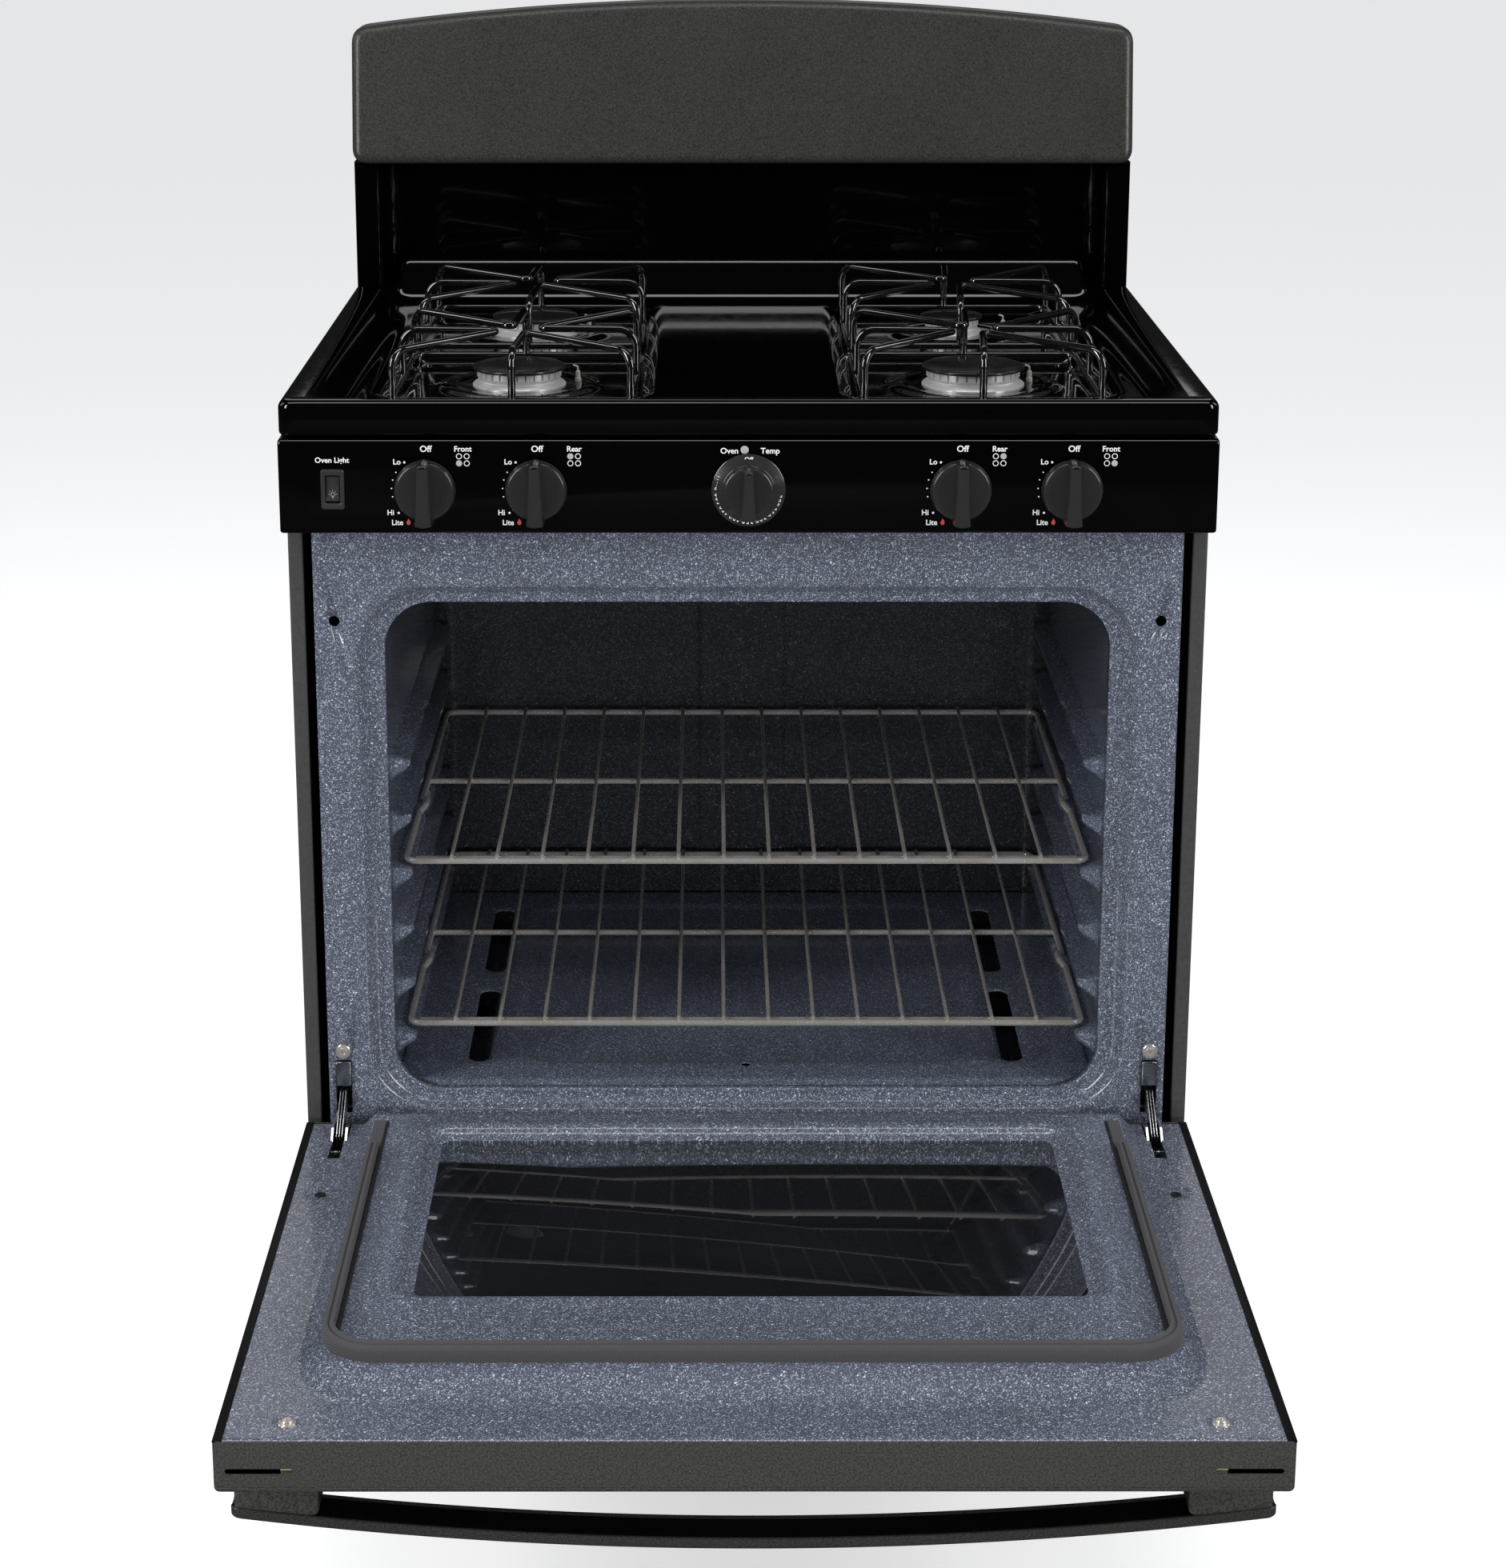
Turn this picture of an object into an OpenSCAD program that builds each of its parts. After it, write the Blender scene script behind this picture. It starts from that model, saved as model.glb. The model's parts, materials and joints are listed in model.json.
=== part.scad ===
// Freestanding gas range: four open burners, single oven with a drop-down door, storage drawer.
// X runs across the front, +Y to the rear, +Z up. The origin is on the floor, under the middle of
// the whole range with its door open. The door is drawn open, resting level on its stops.
// Inside the modules, Y is counted from the plane of the oven's front frame.

/* [Overall] */
// Width across the cooktop
width = 762; // [756:1:768]
// Height of the cooktop rim above the floor
rim_z = 921; // [915:1:927]
// Height of the top of the backguard's arch
arch_z = 1197; // [1190:1:1205]
// Depth from the front frame to the rear cover
depth = 612; // [612:1:616]

/* [Sheet metal] */
// Thickness of the painted and enamelled panels
sheet = 1.5; // [1.2:0.1:1.6]
// Height of the bottom edge of the side panels
skirt_z = 28; // [26:1:30]

/* [Oven] */
// Half the width of the oven opening
oven_half = 303; // [301:1:304]
// Height of the bottom of the oven opening
oven_low = 308; // [306:1:310]
// Height of the top of the oven opening
oven_top = 743; // [740:1:745]
// Depth of the embossed ring around the opening
ring_depth = 12; // [12:0.5:13]
// Distance of the oven's rear wall from the front frame
oven_back = 520; // [518:1:522]
// Height of the lower rack
lower_rack_z = 356; // [354:1:358]
// Pitch of the rack positions
rack_pitch = 49.7; // [49:0.1:50]

/* [Door] */
// Height of the hinge pivots
pivot_z = 267; // [267:0.5:268]
// Distance of the hinge pivots in front of the front frame
pivot_out = 35; // [34.5:0.5:36]
// Distance of the open door's far edge in front of the front frame
door_reach = 565; // [560:1:566]
// Thickness of the door
door_thick = 40; // [39:1:40]

/* [Controls] */
// Height of the knobs' axes
knob_z = 849; // [847:1:851]
// Distance of the outer pair of burner knobs from the middle
knob_outer = 262; // [260:1:264]
// Distance of the inner pair of burner knobs from the middle
knob_inner = 172; // [170:1:174]
// Clearance around the stems, on the radius
stem_clearance = 0.05; // [0.03:0.01:0.1]

/* [Burners] */
// Distance of the burners from the middle, across the range
burner_x = 196; // [194:1:198]
// Distance of the front burners behind the front frame
front_burner_y = 163; // [161:1:165]
// Distance of the rear burners behind the front frame
rear_burner_y = 428; // [426:1:430]
// Diameter of the grate wire
grate_wire = 6.4; // [6:0.2:7]

/* [Hidden] */

fine = 48;
half = width / 2;
front_y = -(depth - door_reach) / 2;
body_half = half - 1.5;
back_y = 600;
panel_top = 888;

frame_half = 360;
frame_low = 242;
frame_top = 812;
ring_half = oven_half + 22;
ring_low = oven_low - 16;
ring_top = oven_top + 16;
ring_floor = ring_depth + sheet;
burner_box_z = 262;
oven_floor_z = 309;
ledge_in = 286;
lamp_x = -258;
lamp_z = 643;
rack_levels = 6;
rack_front = 45;
rack_deep = 450;
rack_half = 293;
rack_bar_r = 3;
rack_wire_r = 2;
rack_wires = 14;
rack_wire_pitch = 39;
upper_rack_z = lower_rack_z + 3 * rack_pitch;

deck_z = rim_z - 12;
well_z = rim_z - 23;
rim_front = -29;
rim_back = 606;
rim_wide = 35;
well_half = 115;
well_front = 46;
well_back = 546;
ledge_z = rim_z + 29;

panel_front = -32;
panel_low = 812;
panel_high = 890;
switch_x = -337;
rocker_pivot_y = panel_front + 8;
rocker_pin_r = 1.5;

door_half = 378.5;
door_low = pivot_z - 19;
door_high = door_low + door_thick;
door_near = -15;
hinge_x = 347;
pin_r = 4;
plateau_half = 318;
plateau_near = -25;
plateau_far = -478;
plateau_z = door_high + 12;
window_half = 266;
window_near = -57;
window_far = -363;
gasket_out = 317;
gasket_wide = 12;
gasket_high = 13.5;
handle_near = -505;
handle_far = -538;
bracket_in = 309;
bracket_out = 369;
bracket_low = door_low - 35;

hood_low = 1043;
hood_side_top = 1171;
hood_front_low = 545;
hood_front_top = 570;
hood_half = 378;
hood_corner = 14;
hood_rise = arch_z - hood_side_top;
arch_r = (hood_half * hood_half + hood_rise * hood_rise) / (2 * hood_rise);

drawer_top = 236;
drawer_low = 60;

stem_r = 3;
burner_knobs = [-knob_outer, -knob_inner, knob_inner, knob_outer];
knob_back = panel_front - 3.5;

// ---- shared shapes ----

module in_frame() { translate([0, front_y, 0]) children(); }

module box(x0, x1, y0, y1, z0, z1) { translate([x0, y0, z0]) cube([x1 - x0, y1 - y0, z1 - z0]); }

module both_sides() {
    children();
    mirror([1, 0, 0]) children();
}

// An XZ outline drawn out from y0 to y1
module along_y(y0, y1) {
    translate([0, y1, 0]) rotate([90, 0, 0]) linear_extrude(y1 - y0) children();
}

// A YZ outline drawn out from x0 to x1
module along_x(x0, x1) {
    translate([x0, 0, 0]) rotate([90, 0, 90]) linear_extrude(x1 - x0) children();
}

module round_rect(x0, x1, y0, y1, r) {
    translate([x0 + r, y0]) square([x1 - x0 - 2 * r, y1 - y0]);
    translate([x0, y0 + r]) square([x1 - x0, y1 - y0 - 2 * r]);
    for (x = [x0 + r, x1 - r], y = [y0 + r, y1 - r]) translate([x, y]) circle(r, $fn = fine);
}

module rod_x(x0, x1, y, z, r) {
    translate([x0, y, z]) rotate([0, 90, 0]) cylinder(h = x1 - x0, r = r, $fn = fine);
}

module rod_y(y0, y1, x, z, r) {
    translate([x, y0, z]) rotate([-90, 0, 0]) cylinder(h = y1 - y0, r = r, $fn = fine);
}

module rod_z(z0, z1, x, y, r) {
    translate([x, y, z0]) cylinder(h = z1 - z0, r = r, $fn = fine);
}

// A straight round bar between two points
module bar(a, b, r) {
    d = b - a;
    turn = atan2(d[1], d[0]);
    tip = atan2(norm([d[0], d[1]]), d[2]);
    translate(a) rotate([0, tip, turn]) cylinder(h = norm(d), r = r, $fn = 24);
}

// ---- cabinet ----

module side_panel() {
    flange = 14;
    translate([0, 0, skirt_z]) linear_extrude(panel_top - skirt_z) {
        translate([body_half - sheet, 0]) square([sheet, back_y]);
        translate([body_half - flange, 0]) square([flange, sheet]);
        translate([body_half - flange, back_y - sheet]) square([flange, sheet]);
    }
}

module side_panels() { color([0.16, 0.16, 0.17]) in_frame() both_sides() side_panel(); }

module back_panel() {
    inlet_hole = 30;
    color([0.6, 0.61, 0.62]) in_frame() difference() {
        box(-body_half + 16, body_half - 16, back_y - sheet, back_y, 62, panel_top);
        for (i = [-4 : 4]) box(i * 60 - 20, i * 60 + 20, back_y - 5, back_y + 5, 800, 806);
        rod_y(back_y - 5, back_y + 5, 300, 840, inlet_hole);
    }
}

module base_frame() {
    rail = 34;
    color([0.3, 0.3, 0.31]) in_frame() difference() {
        union() {
            both_sides() box(342, body_half - sheet, 4, back_y - 4, 30, 30 + sheet);
            both_sides() box(342, 342 + sheet, 4, back_y - 4, 30, 60);
            for (y = [4, back_y - 4 - rail]) box(-342, 342, y, y + rail, 30, 30 + sheet);
            for (y = [4 + rail - sheet, back_y - 4 - rail]) box(-342, 342, y, y + sheet, 30, 60);
        }
        for (x = [-358, 358], y = [40, 560]) rod_z(20, 70, x, y, 5.3);
    }
}

module leveling_legs() {
    color([0.08, 0.08, 0.085]) in_frame() for (x = [-358, 358], y = [40, 560]) {
        rod_z(0, 12, x, y, 17);
        rod_z(12, 22, x, y, 12);
        rod_z(22, 58, x, y, 5);
        translate([x, y, 22]) cylinder(h = 7.9, r = 9.8, $fn = 6);
    }
}

module drawer_rails() {
    color([0.62, 0.63, 0.64]) in_frame() both_sides() {
        box(349, 349 + sheet, 20, 560, 92, 132);
        box(349 + sheet, body_half - sheet, 20, 560, 92, 92 + sheet);
        rod_x(345.3, 349, 60, 112, 9);
    }
}

// ---- oven ----

module oven_front_frame() {
    color([0.33, 0.36, 0.43]) in_frame() difference() {
        union() {
            along_y(0, sheet) difference() {
                translate([-frame_half, frame_low]) square([2 * frame_half, frame_top - frame_low]);
                round_rect(-ring_half, ring_half, ring_low, ring_top, 60);
            }
            along_y(0, ring_floor) difference() {
                round_rect(-ring_half - sheet, ring_half + sheet, ring_low - sheet, ring_top + sheet,
                           60 + sheet);
                round_rect(-ring_half, ring_half, ring_low, ring_top, 60);
            }
            along_y(ring_depth, ring_floor) difference() {
                round_rect(-ring_half - sheet, ring_half + sheet, ring_low - sheet, ring_top + sheet,
                           60 + sheet);
                round_rect(-oven_half, oven_half, oven_low, oven_top, 40);
            }
            both_sides() box(frame_half - sheet, frame_half, sheet, 25, frame_low, frame_top);
        }
        for (x = [-343, 343]) rod_y(-5, 20, x, 730, 4.5);
        both_sides() box(hinge_x - 7, hinge_x + 7, -5, 10, 290, 339);
    }
}

module rack_ledges() {
    for (i = [0 : rack_levels - 1]) {
        top = lower_rack_z + i * rack_pitch - rack_bar_r - 0.3;
        both_sides() box(ledge_in, oven_half, 30, 500, top - 8, top);
    }
}

module oven_cavity() {
    skin = 2;
    color([0.2, 0.22, 0.27]) in_frame() {
        along_y(ring_floor, oven_back) difference() {
            round_rect(-oven_half - skin, oven_half + skin, burner_box_z - skin, oven_top + skin, 40);
            round_rect(-oven_half, oven_half, burner_box_z, oven_top, 38);
        }
        along_y(oven_back - skin, oven_back)
            round_rect(-oven_half - 1, oven_half + 1, burner_box_z - 1, oven_top + 1, 39);
        box(-40, 40, oven_back - 8, oven_back - skin, 330, 730);
        along_y(ring_floor, ring_floor + skin) intersection() {
            round_rect(-oven_half - 1, oven_half + 1, burner_box_z - 1, oven_top + 1, 39);
            translate([-half, burner_box_z - 1]) square([width, oven_low - burner_box_z]);
        }
        rack_ledges();
    }
}

module oven_floor() {
    slot_x = 236;
    leg_x = 262;
    front = ring_floor + 3;
    rear = oven_back - 9;
    color([0.2, 0.22, 0.27]) in_frame() difference() {
        union() {
            box(-oven_half + 1, oven_half - 1, front, rear, oven_floor_z, oven_floor_z + sheet);
            both_sides() box(leg_x, leg_x + sheet, front, rear, burner_box_z + 0.2, oven_floor_z);
        }
        both_sides() for (y = [70, 290]) box(slot_x - 12, slot_x + 12, y, y + 170, 300, 320);
        rod_z(300, 320, 0, 60, 4);
    }
}

module oven_burner() {
    z = 284;
    color([0.5, 0.5, 0.5]) in_frame() {
        difference() {
            rod_y(50, 500, 0, z, 14);
            rod_y(51.5, 505, 0, z, 12.5);
            for (i = [0 : 15]) rod_x(-20, 20, 80 + i * 26, z, 1.6);
        }
        box(-12, 12, 440, 442, burner_box_z, z - 13);
        box(-12, 12, 60, 62, burner_box_z, z - 13);
    }
}

module oven_igniter() {
    color([0.75, 0.73, 0.68]) in_frame() {
        box(24, 38, 180, 260, 276, 290);
        box(38, 40, 170, 270, burner_box_z, 292);
    }
}

module broil_burner() {
    z = 726;
    near = 170;
    far = 440;
    arm_x = 90;
    color([0.5, 0.5, 0.5]) in_frame() {
        for (x = [-arm_x, arm_x]) rod_y(near, far, x, z, 9);
        for (y = [near, far]) rod_x(-arm_x, arm_x, y, z, 9.4);
        for (x = [-arm_x, arm_x], y = [near, far]) translate([x, y, z]) sphere(r = 10, $fn = 24);
        rod_y(far, 510, 0, z, 10);
        for (x = [-arm_x, arm_x], y = [210, 400]) rod_z(z, oven_top - 0.1, x, y, 3);
    }
}

module oven_insulation() {
    wall = 26;
    color([0.82, 0.78, 0.66]) in_frame() difference() {
        box(-oven_half - wall, oven_half + wall, 20, oven_back + 25, 244, oven_top + wall);
        along_y(0, oven_back + 0.3)
            round_rect(-oven_half - 2.3, oven_half + 2.3, burner_box_z - 2.3, oven_top + 2.3, 40);
        rod_y(oven_back - 5, oven_back + 40, lamp_x, lamp_z, 24);
    }
}

module oven_lamp() {
    color([0.93, 0.92, 0.86]) in_frame() {
        rod_y(oven_back, oven_back + 24, lamp_x, lamp_z, 20);
        translate([lamp_x, oven_back - 2, lamp_z]) rotate([90, 0, 0])
            cylinder(h = 9, r1 = 26, r2 = 18, $fn = fine);
    }
}

module rack(z) {
    rear = rack_front + rack_deep;
    middle = rack_front + rack_deep / 2;
    color([0.75, 0.75, 0.76]) in_frame() {
        for (y = [rack_front, middle, rear]) rod_x(-rack_half, rack_half, y, z, rack_bar_r);
        both_sides() rod_y(rack_front, rear, rack_half - 0.2, z, rack_bar_r - 0.2);
        for (x = [-rack_half, rack_half], y = [rack_front, rear])
            translate([x, y, z]) sphere(r = rack_bar_r + 0.2, $fn = 24);
        for (i = [0 : rack_wires - 1]) {
            x = (i - (rack_wires - 1) / 2) * rack_wire_pitch;
            rod_y(rack_front - 2, rear + 2, x, z + rack_bar_r + rack_wire_r - 0.6, rack_wire_r);
        }
    }
}

module upper_rack() { rack(upper_rack_z); }
module lower_rack() { rack(lower_rack_z); }

// ---- cooktop ----

module cooktop_outline(inset, r) {
    round_rect(-half + inset, half - inset, rim_front + inset, rim_back - inset, r);
}

module tray_outline(grow) {
    round_rect(-half + rim_wide - grow, half - rim_wide + grow, 4 - grow, 551 + grow, 24 + grow);
}

module well_outline(grow) {
    both_sides() round_rect(burner_x - well_half - grow, burner_x + well_half + grow,
                            well_front - grow, well_back + grow, 24 + grow);
}

module cooktop() {
    lip_z = rim_z - 29;
    color([0.02, 0.02, 0.022]) in_frame() difference() {
        union() {
            translate([0, 0, lip_z]) linear_extrude(rim_z - lip_z) difference() {
                cooktop_outline(0, 12);
                cooktop_outline(1.3, 10.7);
            }
            translate([0, 0, rim_z - sheet]) linear_extrude(sheet) difference() {
                cooktop_outline(0.5, 11.5);
                tray_outline(0);
            }
            translate([0, 0, deck_z - sheet]) linear_extrude(rim_z - deck_z + sheet) difference() {
                tray_outline(sheet);
                tray_outline(0);
            }
            translate([0, 0, deck_z - sheet]) linear_extrude(sheet) difference() {
                tray_outline(0.5);
                well_outline(0);
            }
            translate([0, 0, well_z - sheet]) linear_extrude(deck_z - well_z + sheet) difference() {
                well_outline(sheet);
                well_outline(0);
            }
            translate([0, 0, well_z - sheet]) linear_extrude(sheet) well_outline(0.5);
            along_x(-half + rim_wide, half - rim_wide) polygon([
                [552, rim_z - sheet], [586, ledge_z - sheet], [rim_back - 2, ledge_z - sheet],
                [rim_back - 2, ledge_z], [585, ledge_z], [551, rim_z]]);
        }
        for (x = [-burner_x, burner_x], y = [front_burner_y, rear_burner_y]) rod_z(880, 900, x, y, 21);
        for (x = [-burner_x, burner_x], y = [front_burner_y, rear_burner_y])
            rod_z(880, 900, x + 50, y + 14, 4);
    }
}

// Each burner: x, y, cap radius
burners = [[-burner_x, front_burner_y, 40], [burner_x, front_burner_y, 44],
           [-burner_x, rear_burner_y, 40], [burner_x, rear_burner_y, 29]];

module burner_heads() {
    color([0.72, 0.72, 0.73]) in_frame() for (b = burners) {
        r = b[2] - 4;
        difference() {
            union() {
                rod_z(well_z, well_z + 6, b[0], b[1], r + 3);
                rod_z(well_z + 6, well_z + 15, b[0], b[1], r);
                rod_z(well_z - 16, well_z, b[0], b[1], 18);
            }
            rod_z(well_z - 20, well_z + 12, b[0], b[1], 14);
            for (a = [0 : 30 : 359])
                translate([b[0], b[1], well_z + 10]) rotate([0, 0, a])
                    translate([r - 5, -0.8, 0]) cube([10, 1.6, 8]);
        }
    }
}

module burner_caps() {
    color([0.03, 0.03, 0.03]) in_frame() for (b = burners) {
        rod_z(well_z + 15, well_z + 19, b[0], b[1], b[2]);
        rod_z(well_z + 19, well_z + 20.5, b[0], b[1], b[2] - 3);
    }
}

module spark_electrodes() {
    color([0.9, 0.89, 0.85]) in_frame() for (b = burners) {
        rod_z(well_z - 14, well_z + 10, b[0] + 50, b[1] + 14, 3);
        rod_z(well_z + 10, well_z + 14, b[0] + 50, b[1] + 14, 1.2);
    }
}

module burner_tube(from_x, x, y) {
    z = 866;
    in_frame() difference() {
        union() {
            rod_z(z, well_z - 16, x, y, 15);
            bar([from_x, 62, z - 17], [x, y, z], 8);
            translate([x, y, z]) sphere(r = 16, $fn = 32);
        }
        rod_z(z, well_z, x, y, 12);
    }
}

module burner_tubes() {
    color([0.7, 0.7, 0.71]) {
        burner_tube(-knob_outer, -burner_x, front_burner_y);
        burner_tube(-knob_inner, -burner_x, rear_burner_y);
        burner_tube(knob_inner, burner_x, rear_burner_y);
        burner_tube(knob_outer, burner_x, front_burner_y);
    }
}

// ---- gas train and controls ----

// Sensing bulb of the oven thermostat, held in two clips on the oven's rear wall
module sensing_bulb() {
    z = 706;
    rod_x(150, 262, oven_back - 16, z, 3.2);
    for (x = [165, 245], s = [-1, 1])
        box(x - 4, x + 4, oven_back - 19, oven_back - 2, z + s * 4 - 1.3, z + s * 4 + 1.3);
}

module manifold_pipe() {
    z = knob_z - 24;
    color([0.45, 0.46, 0.47]) in_frame() {
        rod_x(-300, 300, 44, z, 10);
        translate([300, 44, z]) sphere(r = 11.5, $fn = 32);
        rod_y(44, 540, 300, z, 9.5);
        both_sides() translate([301, 44, z]) sphere(r = 10.8, $fn = 32);
    }
}

module burner_valves() {
    color([0.72, 0.58, 0.3]) in_frame() for (x = burner_knobs) difference() {
        union() {
            rod_y(-2, 56, x, knob_z, 13);
            rod_y(-18, -2, x, knob_z, 8);
            box(x - 9, x + 9, 36, 52, knob_z - 13.8, knob_z);
        }
        rod_y(-20, 30, x, knob_z, stem_r + stem_clearance);
    }
}

module oven_thermostat() {
    color([0.66, 0.6, 0.5]) in_frame() sensing_bulb();
    color([0.66, 0.6, 0.5]) in_frame() difference() {
        union() {
            box(-28, 28, 0, 62, knob_z - 13, knob_z + 26);
            rod_y(-18, 0, 0, knob_z, 8);
        }
        rod_y(-20, 30, 0, knob_z, stem_r + stem_clearance);
    }
}

module pressure_regulator() {
    z = knob_z - 24;
    color([0.55, 0.56, 0.57]) in_frame() difference() {
        union() {
            box(280, 320, 540, 584, z - 20, z + 26);
            rod_z(z + 26, z + 38, 300, 562, 17);
            rod_y(584, 597, 300, z + 6, 16);
        }
        rod_y(570, 600, 300, z + 6, 9.1);
    }
}

module control_panel() {
    color([0.02, 0.02, 0.022]) in_frame() difference() {
        box(-half, half, panel_front, -2, panel_low, panel_high);
        box(-half + 2, half - 2, panel_front + 2, 10, panel_low + 2, panel_high - 2);
        for (x = concat(burner_knobs, [0])) rod_y(-40, 0, x, knob_z, 6);
        box(switch_x - 8, switch_x + 8, -40, 0, knob_z - 14, knob_z + 14);
    }
}

module switch_housing() {
    color([0.03, 0.03, 0.03]) in_frame() difference() {
        union() {
            box(switch_x - 9.5, switch_x + 9.5, panel_front - 2, panel_front, knob_z - 16.5, knob_z + 16.5);
            box(switch_x - 8, switch_x + 8, panel_front, -8, knob_z - 14, knob_z + 14);
        }
        box(switch_x - 6, switch_x + 6, -40, -14, knob_z - 11.5, knob_z + 11.5);
        rod_x(switch_x - 8.1, switch_x + 8.1, rocker_pivot_y, knob_z, rocker_pin_r + 0.15);
    }
}

module light_rocker() {
    rest_tilt = -5;
    color([0.05, 0.05, 0.05]) in_frame()
    translate([switch_x, rocker_pivot_y, knob_z]) rotate([rest_tilt, 0, 0]) {
        translate([-5.5, -8.5, -10.5]) cube([11, 6, 21]);
        translate([-5.5, -3, -4]) cube([11, 5, 8]);
        rod_x(-7.6, 7.6, 0, 0, rocker_pin_r);
    }
}

// One stem: flats and all are inside the knob
module stem(x, y1) {
    color([0.75, 0.7, 0.6]) in_frame() {
        rod_y(knob_back - 14, y1, x, knob_z, stem_r);
        rod_y(-25, -23, x, knob_z, stem_r + 1.6);
    }
}

module stem_left_front() { stem(-knob_outer, 20); }
module stem_left_rear() { stem(-knob_inner, 20); }
module stem_oven() { stem(0, 20); }
module stem_right_rear() { stem(knob_inner, 20); }
module stem_right_front() { stem(knob_outer, 20); }

module knob(x) {
    color([0.06, 0.06, 0.065]) in_frame() difference() {
        union() {
            rod_y(knob_back - 8, knob_back, x, knob_z, 25);
            intersection() {
                rod_y(knob_back - 27, knob_back - 8, x, knob_z, 27);
                box(x - 6.5, x + 6.5, -100, 0, knob_z - 40, knob_z + 40);
            }
        }
        rod_y(knob_back - 16, knob_back + 5, x, knob_z, stem_r + stem_clearance);
    }
}

module knob_left_front() { knob(-knob_outer); }
module knob_left_rear() { knob(-knob_inner); }
module knob_right_rear() { knob(knob_inner); }
module knob_right_front() { knob(knob_outer); }

module oven_dial() {
    color([0.06, 0.06, 0.065]) in_frame() difference() {
        union() {
            rod_y(knob_back - 3, knob_back, 0, knob_z, 30);
            rod_y(knob_back - 10, knob_back - 3, 0, knob_z, 20.5);
            intersection() {
                rod_y(knob_back - 27, knob_back - 10, 0, knob_z, 22);
                box(-6.5, 6.5, -100, 0, knob_z - 40, knob_z + 40);
            }
        }
        rod_y(knob_back - 16, knob_back + 5, 0, knob_z, stem_r + stem_clearance);
    }
}

// ---- backguard ----

// Front view of the hood, with its shallow arched top
module hood_outline(inset) {
    intersection() {
        round_rect(-hood_half + inset, hood_half - inset, hood_low - 30, hood_side_top + 40, hood_corner);
        translate([0, arch_z - arch_r]) circle(arch_r - inset, $fn = 720);
        translate([-half, hood_low + inset]) square([width, 400]);
    }
}

module hood_profile(inset) {
    top = arch_z + 30;
    slope = (hood_front_top - hood_front_low) / (hood_side_top - hood_low);
    rear = rim_back + 1 + inset;
    polygon([[hood_front_low + inset, hood_low - 1], [rear, hood_low - 1], [rear, top],
             [hood_front_low + slope * (top - hood_low) + inset, top]]);
}

module backguard_panel() {
    color([0.24, 0.24, 0.235]) in_frame() difference() {
        intersection() {
            along_y(530, rim_back) hood_outline(0);
            along_x(-half, half) hood_profile(0);
        }
        intersection() {
            along_y(530, rim_back + 10) hood_outline(2);
            along_x(-half, half) hood_profile(2);
        }
    }
}

module backguard_rear_cover() {
    color([0.6, 0.61, 0.62]) in_frame() {
        along_y(depth - sheet, depth) intersection() {
            translate([-372, panel_top + 4]) square([744, 400]);
            hood_cover_outline();
        }
        both_sides() box(340, 370, rim_back, depth - sheet, 1060, 1150);
    }
}

module hood_cover_outline() {
    translate([0, arch_z - 6 - arch_r]) circle(arch_r, $fn = 720);
}

module backsplash() {
    post_in = half - rim_wide + 0.2;
    color([0.02, 0.02, 0.022]) in_frame() {
        box(-post_in - 1, post_in + 1, 590, 590 + sheet, ledge_z, hood_low);
        both_sides() box(post_in, hood_half, 560, 603, rim_z, hood_low);
    }
}

// ---- hinges ----

module hinge_receivers() {
    low = 284;
    high = 352;
    cover_low = 316;
    cover_high = 338;
    cover_half = 6.5;
    color([0.68, 0.69, 0.7]) in_frame() both_sides() {
        box(hinge_x - 9, hinge_x - 7, sheet, 24, low, high);
        box(hinge_x + 7, hinge_x + 9, sheet, 24, low, high);
        box(hinge_x - 7, hinge_x + 7, 22, 24, low, high);
        box(hinge_x - cover_half, hinge_x + cover_half, -1, 23, cover_high - 2, cover_high);
        box(hinge_x - cover_half, hinge_x + cover_half, -2.5, -1, cover_low, cover_high);
        rod_x(hinge_x - 7, hinge_x + 7, 14, 290, 3);
    }
}

// Each arm rises from its pivot and runs back through the frame's slot
module hinge_arms() {
    arm_half = 3;
    color([0.62, 0.63, 0.64]) in_frame() both_sides() difference() {
        union() {
            rod_x(hinge_x - arm_half, hinge_x + arm_half, -pivot_out, pivot_z, 9);
            along_x(hinge_x - arm_half, hinge_x + arm_half) polygon([
                [-46, 278], [-40, 262], [-28, 262], [2, 296], [18, 296], [18, 310], [-6, 314], [-48, 289]]);
        }
        rod_x(hinge_x - 5, hinge_x + 5, -pivot_out, pivot_z, pin_r + 0.05);
    }
}

module hinge_channels() {
    near = -18;
    far = -144;
    wall_low = door_low + 2;
    wall_top = door_high + 6;
    color([0.55, 0.56, 0.57]) in_frame() both_sides() {
        for (x = [hinge_x - 7, hinge_x + 5]) along_x(x, x + 2) polygon([
            [far, wall_low], [near, wall_low], [near, wall_top], [-40, wall_top],
            [-52, door_high - 2], [far, door_high - 2]]);
        box(hinge_x - 5, hinge_x + 5, far, -92, wall_low, wall_low + 2);
        rod_x(hinge_x - 6, hinge_x + 6, -pivot_out, pivot_z, pin_r);
    }
}

module hinge_springs() {
    z = pivot_z + 2;
    color([0.5, 0.5, 0.52]) in_frame() both_sides() {
        for (i = [0 : 9]) translate([hinge_x, -140 + i * 4.2, z]) rotate([90, 0, 0])
            rotate_extrude($fn = 32) translate([3.4, 0]) circle(1.1, $fn = 16);
        rod_y(-142, -100, hinge_x, z, 2.6);
    }
}

// ---- door, drawn open ----

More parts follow.
